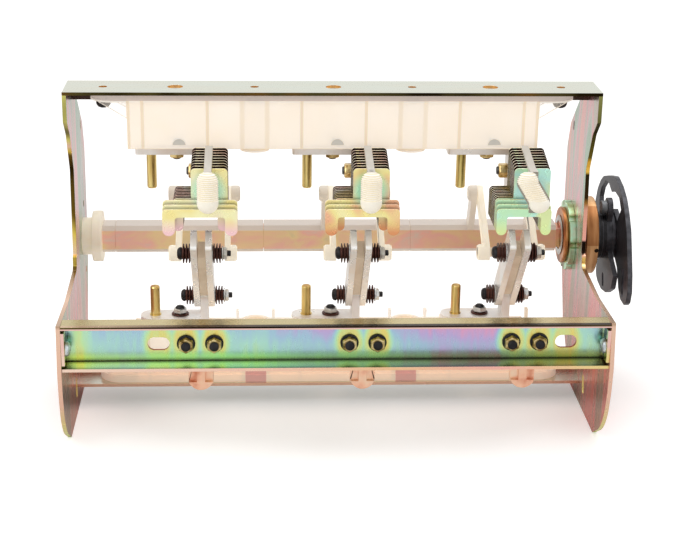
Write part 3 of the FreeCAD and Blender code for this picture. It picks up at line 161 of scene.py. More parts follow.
def add_ramp(factor, *stops):
    """A ramp through stops, each a place with its red, green and blue, or with one plain level."""
    made = add_node("ValToRGB", {"Fac": factor})
    elements = made.color_ramp.elements
    elements[0].position, elements[1].position = stops[0][0], stops[-1][0]
    for stop in stops[1:-1]:
        elements.new(stop[0])
    for element, stop in zip(elements, stops):
        element.color = paint(stop[1:]) if len(stop) == 4 else stop[1:] * 3 + (1.0,)
    return made.outputs["Color"]


def add_mix(factor, first, second, blend="MIX"):
    """Two colours mixed by a share or a mask."""
    inputs = {0: factor, 6: paint(first), 7: paint(second)}
    return add_node("Mix", inputs, data_type="RGBA", blend_type=blend).outputs[2]


def add_noise(vector, scale, detail=2.0, distortion=0.0):
    """Soft noise between 0 and 1."""
    inputs = {"Vector": vector, "Scale": scale, "Detail": detail, "Distortion": distortion}
    return add_node("TexNoise", inputs).outputs["Fac"]


def both(*masks):
    """The mask where all the masks are."""
    product = masks[0]
    for mask in masks[1:]:
        product = add_math("MULTIPLY", product, mask)
    return product


def axis_of(vector, axis):
    """One axis of a vector."""
    return add_node("SeparateXYZ", {"Vector": vector}).outputs[axis]


def band(coords, axis, low, high):
    """Mask of 0 at low and 1 at high along an axis of the object."""
    return add_fade(axis_of(coords["Object"], axis), low, high)


def new_group(name, inputs, outputs):
    """A shared effect, with the starting values of its inputs and the kinds of its outputs."""
    tree = bpy.data.node_groups.new(name, "ShaderNodeTree")
    for socket, value in inputs.items():
        kind = "Float" if isinstance(value, float) else "Vector" if len(value) == 3 else "Color"
        made = tree.interface.new_socket(socket, in_out="INPUT", socket_type="NodeSocket" + kind)
        made.default_value = value
    for socket, kind in outputs.items():
        tree.interface.new_socket(socket, in_out="OUTPUT", socket_type="NodeSocket" + kind)
    return tree, tree.nodes.new("NodeGroupInput").outputs, tree.nodes.new("NodeGroupOutput")


# Thin passivation film: its thickness wanders, and each thickness has its own tint from straw to mint
film, film_in, film_out = new_group("passivation_film", {
    "Vector": (0, 0, 0), "Normal": (0, 0, 0), "Axis": (1, 0, 0), "Scale": 8.0, "Film": 0.5, "Swing": 0.2,
    "Cut": 90.0}, {"Color": "Color", "Roughness": "Float", "Edge": "Float"})
clouds = add_noise(film_in["Vector"], film_in["Scale"], 2.0, 0.9)
streaks = add_noise(film_in["Vector"], add_math("MULTIPLY", film_in["Scale"], 7.0), 3.0)
cloud_swing = add_math("MULTIPLY", add_math("SUBTRACT", clouds, 0.5), film_in["Swing"])
streak_swing = add_math("MULTIPLY", add_math("SUBTRACT", streaks, 0.5), 0.22)
depth = add_math("ADD", film_in["Film"], add_math("ADD", cloud_swing, streak_swing))
tint = add_ramp(
    add_math("PINGPONG", depth, 1.0), (0.0, 247, 240, 214), (0.12, 246, 226, 150), (0.24, 226, 188, 118),
    (0.34, 244, 190, 166), (0.44, 240, 170, 206), (0.54, 200, 184, 232), (0.64, 176, 212, 236),
    (0.74, 184, 236, 222), (0.86, 206, 246, 180), (1.0, 246, 228, 130))
cut_tint = add_ramp(
    add_noise(film_in["Vector"], film_in["Cut"], 1.0), (0.38, 30, 24, 12), (0.45, 112, 90, 36),
    (0.49, 232, 206, 96), (0.56, 252, 216, 190), (0.64, 236, 230, 130), (0.72, 64, 54, 22))
across = add_math("ABSOLUTE", measure("DOT_PRODUCT", film_in["Normal"], film_in["Axis"]))
edge_mask = add_math("LESS_THAN", across, 0.5)
fill(film_out, {"Color": add_mix(edge_mask, tint, cut_tint), "Edge": edge_mask,
                "Roughness": add_math("MULTIPLY_ADD", streaks, 0.18, 0.17)})


def passivated(name, axis, scale, film_value, swing, stretch=(1, 1, 1), cut=90.0):
    """Zinc plated sheet; axis is the way the sheet faces, stretch draws the clouds out into streaks."""
    made, shader, coords = new_material(name, {"Metallic": 1.0})
    inputs = {"Vector": add_stretch(coords, stretch), "Normal": coords["Normal"], "Axis": axis,
              "Scale": scale, "Film": film_value, "Swing": swing, "Cut": cut}
    skin = add_node("Group", inputs, node_tree=film)
    fill(shader, {"Base Color": skin.outputs["Color"], "Roughness": skin.outputs["Roughness"]})
    return made, shader, coords, skin


def pick(piece):
    """Make a piece the only one that is selected, and the active one."""
    bpy.ops.object.select_all(action="DESELECT")
    bpy.context.view_layer.objects.active = piece
    piece.select_set(True)


def finish_piece(piece, node, material, edge=0.0, segments=2, body="frame"):
    """Round a piece's edges, shade and paint it, and hang it on its body in place of a node."""
    pick(piece)
    if edge:
        bevel = piece.modifiers.new("edges", "BEVEL")
        bevel.width = edge
        bevel.segments = segments
        bevel.limit_method = "ANGLE"
        bevel.angle_limit = math.radians(30)
        bpy.ops.object.modifier_apply(modifier="edges")
    bpy.ops.object.shade_smooth_by_angle(angle=math.radians(40))
    if edge:
        piece.modifiers.new("flat_faces", "WEIGHTED_NORMAL").keep_sharp = True
        bpy.ops.object.modifier_apply(modifier="flat_faces")
    piece.data.materials.clear()
    piece.data.materials.append(material)
    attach(piece, body)
    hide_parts(node)
    piece.select_set(False)


def new_piece(name, mesh):
    """A new object with its own copy of a mesh."""
    piece = bpy.data.objects.new(name, mesh.copy())
    bpy.context.collection.objects.link(piece)
    return piece


def choose(piece, kind, test):
    """Put a piece in edit mode, with its faces or edges that pass a test selected."""
    pick(piece)
    bpy.ops.object.mode_set(mode="EDIT")
    bpy.ops.mesh.select_mode(type="EDGE" if kind == "edges" else "FACE")
    bpy.ops.mesh.select_all(action="DESELECT")
    mesh = bmesh.from_edit_mesh(piece.data)
    for item in getattr(mesh, kind):
        if test(item):
            item.select_set(True)
    bmesh.update_edit_mesh(piece.data)


def done(piece):
    """Leave edit mode, with no piece selected."""
    bpy.ops.object.mode_set(mode="OBJECT")
    piece.select_set(False)


def merged_copy(node, name):
    """A copy of a machined solid with its triangles joined into whole faces."""
    piece = new_piece(name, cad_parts[node].data)
    pick(piece)
    bpy.ops.object.mode_set(mode="EDIT")
    bpy.ops.mesh.select_all(action="SELECT")
    bpy.ops.mesh.remove_doubles(threshold=0.000002)
    bpy.ops.mesh.dissolve_limited(angle_limit=math.radians(0.6))
    bpy.ops.mesh.normals_make_consistent(inside=False)
    done(piece)
    return piece


def dressed(node, material, edge, segments=2, body="frame"):
    """A machined solid with its edges broken, in place of its plain node."""
    finish_piece(merged_copy(node, node + "_finished"), node, material, edge, segments, body)


def cut_off(piece, place, outward):
    """Cut off what lies outside a plane and close the cut."""
    choose(piece, "faces", lambda face: True)
    bpy.ops.mesh.bisect(plane_co=place, plane_no=outward, use_fill=True, clear_outer=True)
    done(piece)


side_steel, shader, coords, skin = passivated(
    "side_steel", (1, 0, 0), 9.0, 0.36, 0.5, stretch=(1, 1.6, 0.5), cut=15.0)
streaked = add_ramp(
    add_noise(add_stretch(coords, (1, 1, 0.13)), 34.0, 2.0, 0.4), (0.36, 170, 204, 182),
    (0.44, 212, 210, 206), (0.5, 250, 182, 190), (0.57, 200, 204, 194), (0.66, 250, 190, 180))
# Painted shade: the plates are painted darker towards the bottom, and warmer and darker again below the
# channel's top; there the right leg is also made less metallic, so the lamps light it.
on_right = band(coords, "X", -0.1, 0.1)
low_mask = band(coords, "Z", 0.140, 0.085)
leg_shade_tone = add_mix(on_right, (250, 204, 184), (255, 190, 176))
shaded_legs = add_mix(low_mask, streaked, leg_shade_tone, "MULTIPLY")
low_shade_tone = add_mix(on_right, (222, 216, 210), (246, 226, 220))
wear_and_shade = add_mix(band(coords, "Z", 0.22, 0.16), shaded_legs, low_shade_tone, "MULTIPLY")
flat_tint = add_mix(0.88, skin.outputs["Color"], wear_and_shade)
foot_edge = add_ramp(
    band(coords, "Z", 0.0, 0.135), (0.0, 230, 238, 140), (0.2, 238, 220, 150), (0.4, 242, 196, 172),
    (0.95, 246, 206, 180), (1.0, 120, 96, 50))
edge_tint = add_mix(band(coords, "Z", 0.1365, 0.1340), skin.outputs["Color"], foot_edge)
# The right plate's front edge is painted in bright and dark bands up its height: painted highlights and
# shade.
right_edge_light_shade = add_ramp(
    band(coords, "Z", 0.135, 0.318), (0.0, 190, 150, 80), (0.045, 240, 196, 110), (0.06, 250, 190, 160),
    (0.07, 40, 28, 22), (0.132, 30, 24, 20), (0.142, 252, 180, 164), (0.31, 240, 172, 150),
    (0.345, 170, 120, 60), (0.375, 60, 44, 26), (0.505, 50, 44, 26), (0.52, 250, 200, 90),
    (0.58, 240, 190, 70), (0.61, 110, 100, 40), (0.74, 70, 66, 34), (1.0, 150, 150, 90))
edge_tint = add_mix(both(on_right, band(coords, "Z", 0.1365, 0.138)), edge_tint, right_edge_light_shade)
dulled = add_math("MULTIPLY_ADD", both(low_mask, on_right), -0.5, 1.0)
fill(shader, {"Base Color": add_mix(skin.outputs["Edge"], flat_tint, edge_tint), "Metallic": dulled})

toe_radius = 0.0626
for node in ("left_side_plate", "right_side_plate"):
    plate = merged_copy(node, node + "_finished")
    toe_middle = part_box(node)[0] + Vector((0, 0.067, 0.064))
    for degrees in (14.0, 21.5, 29.0, 36.5, 44.0, 51.5, 59.0):
        slope = math.radians(degrees)
        outward = Vector((0, -math.cos(slope), -math.sin(slope)))
        cut_off(plate, toe_middle + toe_radius * outward, outward)
    finish_piece(plate, node, side_steel, 0.0006)

# Top and bottom beams: 3 mm sheets that span the side plates, with a lip along the back and drilled holes.
# They are passivated as the plates are; the top one's front edge is dark, and the bottom one's pale.
beam_steel, shader, coords, skin = passivated("beam_steel", (0, 0, 1), 5.0, 0.9, 0.16, stretch=(0.4, 2, 1))
beam_front, beam_back = (corner.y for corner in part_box("top_beam"))
on_top = band(coords, "Z", 0.1, 0.2)
pale = add_mix(0.86, skin.outputs["Color"], (208, 206, 200))
on_lip = band(coords, "Y", beam_back - 0.0060, beam_back - 0.0050)
lip_tint = add_mix(on_top, (200, 126, 110), (64, 50, 44))
cut = add_mix(skin.outputs["Edge"], pale, add_mix(on_lip, (236, 194, 130), lip_tint))
on_front = band(coords, "Y", beam_front + 0.0006, beam_front + 0.0003)
dark_line = add_ramp(
    add_noise(coords["Object"], 14.0), (0.35, 40, 32, 18), (0.5, 84, 76, 44), (0.65, 120, 84, 40))
line = add_mix(on_top, (226, 184, 160), dark_line)
fill(shader, {"Base Color": add_mix(on_front, cut, line)})
dressed("top_beam", beam_steel, 0.0005)
dressed("bottom_beam", beam_steel, 0.0005)

# Front channel: 3 mm sheet bent to a U that opens to the front, with a tab at each end for its screws.
# Its web shines mint and lilac with yellow halos round the holes; the lower flange is painted darker to the
# right, a painted shade.
channel_low, channel_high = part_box("front_channel")
channel = merged_copy("front_channel", "front_channel_bent")


def rounded(piece, test, radius, segments):
    """Round the edges that pass a test."""
    choose(piece, "edges", test)
    bpy.ops.mesh.bevel(offset=radius, segments=segments, affect="EDGES")
    done(piece)


for inset, bend_radius in ((0.0, 0.0038), (0.003, 0.0012)):
    bend_y = channel_high.y - inset
    bend_heights = (channel_low.z + inset, channel_high.z - inset)
    rounded(channel, lambda edge: edge.calc_length() > 0.1 and all(
        abs(end.co.y - bend_y) < 0.0001 and min(abs(end.co.z - height) for height in bend_heights) < 0.0001
        for end in edge.verts), bend_radius, 4)

# Places on the drawing: the phases' middles, the blades' plane beside each, and the channel's bolts and slots
phase_middles = (-150.0, 0.0, 150.0)
blade_plane = 24.5
bolt_height, half_pair, half_slots = 107.0, 12.9, 188.0
zero_left, zero_front = 26.0, 4.838
earth_bolts = []
for k, middle in enumerate(phase_middles, start=1):
    between = middle + blade_plane
    earth_bolts += [("%da" % k, between - half_pair), ("%db" % k, between + half_pair)]
slots = [blade_plane - half_slots, blade_plane + half_slots]


def spot(x, y, z):
    """A place of the drawing, which is in millimetres from a point left and front of the scene's middle."""
    return Vector((x - zero_left, y - zero_front, z)) / 1000


channel_steel, shader, coords, skin = passivated(
    "channel_steel", (0, 1, 0), 22.0, 0.7, 0.16, stretch=(1, 1, 0.25))
along = band(coords, "X", channel_low.x, channel_high.x)
low_film = add_ramp(
    along, (0, 0.72), (0.03, 0.94), (0.06, 0.72), (0.14, 0.70), (0.2, 0.76), (0.27, 0.70), (0.36, 0.76),
    (0.43, 0.68), (0.6, 0.66), (0.68, 0.6), (0.8, 0.56), (0.87, 0.76), (0.93, 0.84), (1, 0.70))
high_film = add_ramp(
    along, (0, 0.66), (0.03, 0.92), (0.055, 0.66), (0.1, 0.62), (0.2, 0.66), (0.3, 0.56), (0.36, 0.66),
    (0.43, 0.54), (0.5, 0.44), (0.58, 0.56), (0.66, 0.46), (0.76, 0.42), (0.85, 0.5), (0.9, 0.66), (1, 0.70))
web_film = add_mix(band(coords, "Z", 0.105, 0.126), low_film, high_film)
squeeze = 0.6
squeezed = add_stretch(coords, (1, 1, squeeze))
nearest = 1.0
for x in [x for mark, x in earth_bolts] + slots:
    hole = (spot(x, 0, 0).x, channel_high.y, bolt_height / 1000 * squeeze)
    nearest = add_math("MINIMUM", measure("DISTANCE", squeezed, hole), nearest)
halo = add_fade(nearest, 0.0085, 0.0175, 1.0, 0.0, "SMOOTHSTEP")
halo = both(halo, add_fade(axis_of(coords["Object"], "Z"), 0.093, 0.101, 0.25, 1.0))
to_yellow = add_math("SUBTRACT", 0.96, web_film)
fill(skin, {"Film": add_math("MULTIPLY_ADD", halo, to_yellow, web_film)})
bend_glow = band(coords, "Z", channel_low.z + 0.012, channel_low.z + 0.005)
green_line = add_mix(bend_glow, skin.outputs["Color"], (240, 240, 178), "MULTIPLY")
flange = band(coords, "Z", channel_low.z + 0.0045, channel_low.z + 0.003)
# Painted light on the lower flange: a shade that darkens it to the right, and across it a painted highlight,
# brightest along its middle.
flange_painted_shade = add_ramp(
    along, (0.0, 255, 240, 180), (0.12, 244, 255, 204), (0.3, 216, 250, 190), (0.45, 186, 210, 166),
    (0.75, 146, 136, 106), (1.0, 176, 150, 120))
across_flange = band(coords, "Y", channel_low.y, channel_high.y - 0.003)
flange_highlight = add_ramp(
    across_flange, (0, 0.12), (0.1, 0.5), (0.3, 0.9), (0.6, 1.0), (0.76, 0.6), (0.9, 0.2), (1, 0.12))
painted = add_mix(flange, green_line, add_mix(1.0, flange_painted_shade, flange_highlight, "MULTIPLY"))
front_edge = band(coords, "Y", channel_low.y + 0.0006, channel_low.y + 0.0003)
low_edge = add_ramp(
    along, (0.0, 255, 224, 204), (0.4, 255, 210, 186), (0.6, 252, 206, 160), (0.8, 255, 190, 178),
    (1.0, 248, 226, 150))
# The top flange's front edge is painted dark, a painted shade that is darkest in the middle, with a thin pink
# line at its foot.
high_edge_shade = add_ramp(
    along, (0.0, 96, 84, 44), (0.16, 44, 34, 22), (0.42, 30, 24, 14), (0.6, 58, 44, 36), (0.8, 34, 28, 20),
    (1.0, 90, 76, 52))
pink_foot = band(coords, "Z", channel_high.z - 0.0014, channel_high.z - 0.0018)
high_edge_shade = add_mix(pink_foot, high_edge_shade, (250, 206, 196))
edge_tint = add_mix(band(coords, "Z", 0.10, 0.11), low_edge, high_edge_shade)
painted = add_mix(front_edge, painted, edge_tint)
# The walls of the slots are painted red-brown: painted shade.
slot_wall_shade = both(
    skin.outputs["Edge"], add_math("LESS_THAN", nearest, 0.0125), band(coords, "Z", 0.0985, 0.0990))
painted = add_mix(slot_wall_shade, painted, (150, 72, 44))


def looking(coords, axis, least, either_way=False):
    """Mask of the faces that look along an axis, or also against it."""
    way = axis_of(coords["Normal"], axis)
    if either_way:
        way = add_math("ABSOLUTE", way)
    return add_math("GREATER_THAN", way, least)


shelf = both(looking(coords, "Z", 0.6), band(coords, "Z", 0.129, 0.1305))
shelf_tint = add_mix(add_noise(coords["Object"], 9.0), (176, 164, 116), (222, 204, 156))
# The front strip of the top flange's upper face is painted dark, most of all from the middle to the right:
# painted shade.
shelf_front = band(coords, "Y", channel_low.y + 0.0062, channel_low.y + 0.0042)
shelf_front_shade = add_ramp(along, (0.0, 214, 184, 150), (0.2, 110, 84, 60), (0.4, 40, 30, 20), (1.0, 52, 40, 30))
painted = add_mix(shelf, painted, add_mix(shelf_front, shelf_tint, shelf_front_shade))
fill(shader, {"Base Color": painted})
finish_piece(channel, "front_channel", channel_steel, 0.0004)

# Screws of the frame: button heads in the channel's tabs, and pan heads that hold the trays to the beams.
# The button heads are bright zinc, the pan heads in the wells grey, and those at the flanges' ends black.


def turned(steps, sides=28, ring=False):
    """A round piece as from a lathe: a disc drawn out through steps of radius and height in millimetres.

    A ring is drawn from an open circle, and its steps close on themselves."""
    radius, height = steps[0]
    bpy.ops.mesh.primitive_circle_add(vertices=sides, radius=radius / 1000, location=(0, 0, 0),
                                      fill_type="NOTHING" if ring else "NGON")
    piece = bpy.context.object
    bpy.ops.object.mode_set(mode="EDIT")
    bpy.ops.mesh.select_mode(type="VERT")
    bpy.ops.mesh.select_all(action="SELECT")
    bpy.ops.transform.translate(value=(0, 0, height / 1000))
    for new_radius, new_height in steps[1:] + (steps[:1] if ring else []):
        rise = (0, 0, (new_height - height) / 1000)
        bpy.ops.mesh.extrude_region_move(TRANSFORM_OT_translate={"value": rise})
        grow = new_radius / radius
        bpy.ops.transform.resize(value=(grow, grow, 1), center_override=(0, 0, new_height / 1000))
        radius, height = new_radius, new_height
    bpy.ops.mesh.select_all(action="SELECT")
    bpy.ops.mesh.remove_doubles(threshold=0.0000005)
    bpy.ops.mesh.normals_make_consistent(inside=False)
    done(piece)
    return piece


turns = {"z": (0, 0, 0), "-z": (math.pi, 0, 0), "x": (0, math.pi / 2, 0), "-x": (0, -math.pi / 2, 0),
         "y": (-math.pi / 2, 0, 0), "-y": (math.pi / 2, 0, 0)}


def copies(master, axis, places, node, material, edge=0.0, body="frame"):
    """A copy of the master at every named place, finished in place of a node; the master goes."""
    pick(master)
    master.rotation_euler = turns[axis]
    bpy.ops.object.transform_apply(location=False, rotation=True, scale=False)
    for name, place in places:
        piece = new_piece(name, master.data)
        piece.data.transform(Matrix.Translation(place))
        finish_piece(piece, node, material, edge, body=body)
    bpy.data.objects.remove(master)


def add_bump(height, strength, distance):
    """The surface's normal, made rough by a height."""
    inputs = {"Height": height, "Strength": strength, "Distance": distance}
    return add_node("Bump", inputs).outputs["Normal"]


def oxide_black(name, tone, roughness):
    """Blackened steel: a dark skin with a faint mottle and fine grain."""
    made, shader, coords = new_material(name, {"Metallic": 0.55})
    mottle = add_noise(coords["Object"], 160.0, 4.0)
    wear_and_shade = (255 * min(1.0, part * 1.9 + 0.012) ** (1 / 2.2) for part in paint(tone)[:3])
    fill(shader, {"Base Color": add_ramp(mottle, (0.4, *tone), (0.68, *wear_and_shade)),
                  "Roughness": add_math("MULTIPLY_ADD", mottle, 0.22, roughness - 0.1),
                  "Normal": add_bump(mottle, 0.12, 0.0004)})
    return made


black_oxide = oxide_black("black_oxide", (34, 33, 35), 0.42)
grey_oxide = oxide_black("grey_oxide", (92, 94, 96), 0.38)
screw_zinc = oxide_black("screw_zinc", (176, 186, 190), 0.3)
button_head = [(6.6, 0.0), (7.0, 0.6), (6.6, 2.4), (5.2, 3.8), (3.6, 4.3), (2.4, 4.4), (2.2, 2.0)]
for name, x, axis in (("left_channel_screw", -247.0, "x"), ("right_channel_screw", 247.0, "-x")):
    copies(turned(button_head), axis, [(name, spot(x, -137.0, bolt_height))], "frame_screws", screw_zinc)
well_head = [(6.9, 0.0), (7.0, 2.2), (6.2, 3.6), (4.4, 4.4), (1.9, 4.4), (1.6, 2.6)]
end_head = [(7.0, 0.0), (7.0, 4.4), (6.6, 6.4), (5.2, 8.4), (3.0, 9.4), (1.6, 9.5)]
for tray, axis, beam_face, sense in (("upper", "-z", 315.0, -1), ("lower", "z", 23.0, 1)):
    for head, seat, screws, material in ((well_head, 8.0, ((2, -75.0), (3, 75.0)), grey_oxide),
                                         (end_head, 7.5, ((1, -218.0), (4, 218.0)), black_oxide)):
        places = [("%s_tray_screw_%d" % (tray, number), spot(x, 0.0, beam_face + sense * seat))
                  for number, x in screws]
        copies(turned(head), axis, places, "frame_screws", material)

# Insulating trays: milky translucent mouldings with flange, ribs and screw wells, screwed under the top beam
# and on the bottom beam. Light passes through their walls, so the ribs show as warmer lines.
milk, milk_in, milk_out = new_group("milky_moulding", {
    "Vector": (0, 0, 0), "Pale": (1, 1, 1, 1), "Warm": (0.8, 0.7, 0.5, 1), "Scale": 30.0},
    {"Color": "Color", "Height": "Float"})
flow = add_noise(milk_in["Vector"], milk_in["Scale"], 3.0, 1.2)
warmer = add_mix(add_fade(flow, 0.35, 0.75), milk_in["Pale"], milk_in["Warm"])
fill(milk_out, {"Height": flow, "Color": warmer})


def moulding(name, pale, warm, clear, roughness, painted_glow=0.16):
    """Unfilled moulding; clear is how much light goes through it, and glow is painted light that brightens it
    though it is no lamp.
    """
    made, shader, coords = new_material(name, {
        "Roughness": roughness, "Transmission Weight": clear, "IOR": 1.3, "Emission Color": paint(pale),
        "Emission Strength": painted_glow})
    inputs = {"Vector": coords["Object"], "Pale": paint(pale), "Warm": paint(warm)}
    body = add_node("Group", inputs, node_tree=milk).outputs
    fill(shader, {"Base Color": body["Color"], "Normal": add_bump(body["Height"], 0.15, 0.001)})
    return made


def opened(material):
    """A material's shader, coordinates and colour so far, to paint over."""
    nodes = material.node_tree.nodes
    shader = nodes["Principled BSDF"]
    return shader, nodes.new("ShaderNodeTexCoord").outputs, shader.inputs["Base Color"].links[0].from_socket


def stripe(value, middle, half, blur):
    """Mask of 1 within half a width of a place along a value, fading out over the blur."""
    off = add_math("ABSOLUTE", add_math("SUBTRACT", value, middle))
    return add_fade(off, half + blur, half)


tray_milk = moulding("tray_milk", (255, 248, 238), (253, 243, 228), 0.25, 0.3, 0.19)
shader, coords, tray_body = opened(tray_milk)
sideways, upwards = (axis_of(coords["Object"], axis) for axis in "XZ")
from_middle = add_math("ABSOLUTE", add_math("SUBTRACT", sideways, spot(0, 0, 0).x))
rib_places, well_places, half_wall = (0.0305, 0.1195, 0.1805, 0.1936), (0.0632, 0.0868), 0.0012
floor_places = ((0.2606, 0.0016), (0.0780, 0.0015))
walls = [stripe(from_middle, place, half_wall, 0.0006) for place in rib_places]
walls += [both(stripe(from_middle, place, half_wall, 0.002), 0.6) for place in well_places]
walls += [stripe(upwards, place, half, 0.0006) for place, half in floor_places]
wall_mask = 0.0
for wall in walls:
    wall_mask = add_math("MAXIMUM", wall, wall_mask)
ribbed = add_mix(wall_mask, tray_body, (238, 220, 192))
flat_on = add_stretch(coords, (1, 0, 1))
# Painted shade: the dome nuts inside the tray are painted on its walls as grey half discs, set 3.5 mm to the
# right as they are seen through the front wall.
for middle in phase_middles:
    dome_foot = spot(middle + 3.5, 0.0, 265.5)
    reach = measure("DISTANCE", flat_on, (dome_foot.x, 0, dome_foot.z))
    nut_shade_mask = both(
        band(coords, "Z", dome_foot.z, dome_foot.z + 0.0006), add_fade(reach, 0.0068, 0.0058), 0.75)
    ribbed = add_mix(nut_shade_mask, ribbed, (150, 152, 146))
# The top of the upper tray, just under the top beam, is painted greyer: painted shade.
ribbed = add_mix(band(coords, "Z", 0.3088, 0.3094), ribbed, (190, 172, 164))
well_shade = stripe(from_middle, 0.075, 0.0100, 0.0006)
flange_tint = add_mix(well_shade, (250, 214, 180), (214, 122, 106))
ribbed = add_mix(band(coords, "Z", 0.0340, 0.0336), ribbed, flange_tint)
thin_web = both(
    add_math("GREATER_THAN", from_middle, 0.1952), looking(coords, "Y", 0.7, either_way=True),
    band(coords, "Z", 0.0337, 0.0341), band(coords, "Z", 0.3075, 0.3071))
fill(shader, {"Base Color": ribbed, "Alpha": add_math("MULTIPLY_ADD", thin_web, -0.8, 1.0)})
dressed("upper_tray", tray_milk, 0.0007)
dressed("lower_tray", tray_milk, 0.0007)

# Line contacts: silver plated copper bars on the trays, one upper and one lower for each phase.
# Each has a leg in the blades' plane; the lower leg is round, because the blades are hinged on it.


def silver_plate(name, bright, dull, roughness, metallic=0.6):
    """Silver over copper with a slight warm tarnish that gathers in clouds."""
    made, shader, coords = new_material(name, {"Metallic": metallic})
    tarnish = add_noise(coords["Object"], 38.0, 5.0)
    fill(shader, {"Base Color": add_ramp(tarnish, (0.42, *bright), (0.7, *dull)),
                  "Roughness": add_math("MULTIPLY_ADD", tarnish, 0.3, roughness - 0.12)})
    return made


contact_silver = silver_plate("contact_silver", (255, 252, 248), (242, 228, 216), 0.28, 0.35)
for side, end_radius in (("upper", 0.003), ("lower", 0.011)):
    for k in (1, 2, 3):
        node = "%s_contact_%d" % (side, k)
        contact = merged_copy(node, node + "_finished")
        left_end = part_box(node)[0].x
        rounded(contact, lambda edge: all(abs(end.co.x - left_end) < 0.0002 for end in edge.verts) and abs(
            edge.verts[0].co.z - edge.verts[1].co.z) > 0.004, end_radius, 8)
        finish_piece(contact, node, contact_silver, 0.0009, 3)

# Terminal studs: yellow zinc plated M10 studs pressed through the contact bars, three down and three up.
# The cables' lugs go on them; a groove marks where each leaves its bar.


def brushed(name, tones, roughness, scale, stretch=(1, 1, 1)):
    """Plated or turned metal whose tint runs in streaks; stretch draws them out along an axis."""
    made, shader, coords = new_material(name, {"Roughness": roughness, "Metallic": 0.9})
    marks = add_noise(add_stretch(coords, stretch), scale, 3.0)
    stops = [(0.32 + 0.36 * i / (len(tones) - 1), *tone) for i, tone in enumerate(tones)]
    fill(shader, {"Base Color": add_ramp(marks, *stops), "Normal": add_bump(marks, 0.1, 0.0002)})
    return made


def per_phase(stem, offset, y, z):
    """A named place for each phase, at an offset from its middle."""
    return [("%s_%d" % (stem, k), spot(middle + offset, y, z))
            for k, middle in enumerate(phase_middles, start=1)]


def threaded(length):
    """An M10 stud with its thread cut ring by ring, a collar and groove at the foot and a bevelled tip."""
    crest, root, pitch = 4.8, 4.6, 1.5
    steps = [(crest + 0.9, 0.0), (crest + 0.9, 0.8), (root, 1.0)]
    height = 1.0
    while height < length - 2 * pitch:
        steps += [(crest, height + pitch * 0.5), (root, height + pitch)]
        height += pitch
    return turned(steps + [(crest, height + pitch * 0.5), (root - 0.5, length)], 20)


zinc_tones = ((150, 120, 62), (222, 190, 116), (250, 226, 150), (196, 176, 100), (230, 170, 130))
yellow_zinc = brushed("yellow_zinc", zinc_tones, 0.3, 90.0, (1, 1, 0.12))
stud_y, upper_bar, lower_bar = 6.0, 253.0, 85.0
for stem, axis, bar_face, length in (("upper_stud", "-z", upper_bar, 36.0),
                                     ("lower_stud", "z", lower_bar, 30.0)):
    places = per_phase(stem, -blade_plane, stud_y, bar_face)
    copies(threaded(length), axis, places, "terminal_studs", yellow_zinc)

# Clamp bolts: they hold each contact bar to its tray through the wall, with a dome nut inside the tray.
# Below the upper bars sit brass coloured nuts; on the lower bars a dark cupped washer, a nut and a black end.
brass_zinc = brushed(
    "brass_zinc", ((120, 92, 50), (206, 172, 106), (250, 224, 160), (176, 140, 84)), 0.28, 120.0)
bright_zinc = silver_plate("bright_zinc", (226, 228, 228), (180, 172, 156), 0.26)
spring_brown = oxide_black("spring_brown", (70, 38, 28), 0.4)


def nut(across, height):
    """A hexagon nut with its corners turned off at both ends."""
    return turned([(across * 0.9, 0.0), (across, 0.9), (across, height - 0.9), (across * 0.88, height)], 6)


upper_end = [(4.0, 0.0), (4.0, 1.2), (3.0, 1.9)]
lower_end = [(4.6, 0.0), (4.6, 0.8), (3.6, 2.0), (1.8, 2.6)]
cup = [(8.0, 0.0), (8.6, 0.5), (8.5, 1.2), (5.5, 2.0), (4.3, 2.0)]
dome = [(6.6, 0.0), (6.8, 0.5), (6.6, 2.6), (5.4, 4.6), (3.0, 5.8), (1.2, 6.0)]
for stem, piece, axis, z, node, material, slot, edge in (
        ("upper_clamp_nut", nut(7.5, 5.4), "-z", upper_bar, "clamp_bolts", brass_zinc, "yellow_zinc", 0.0004),
        ("upper_clamp_end", turned(upper_end), "-z", upper_bar - 5.3, "clamp_bolts", black_oxide,
         "black_steel", 0.0),
        ("clamp_cup", turned(cup), "z", lower_bar, "clamp_disc_washers", spring_brown,
         "dark_spring_steel", 0.0),
        ("lower_clamp_nut", nut(7.2, 4.8), "z", lower_bar + 2.0, "clamp_bolts", bright_zinc, "yellow_zinc",
         0.0006),
        ("lower_clamp_end", turned(lower_end), "z", lower_bar + 6.7, "clamp_bolts", black_oxide,
         "black_steel", 0.0),
        ("upper_dome_nut", turned(dome), "z", 265.0, "clamp_nuts", grey_oxide, "bright_steel", 0.0),
        ("lower_dome_nut", turned(dome), "-z", 73.0, "clamp_nuts", grey_oxide, "bright_steel", 0.0)):
    copies(piece, axis, per_phase(stem, 0.0, stud_y, z), node, material, edge)

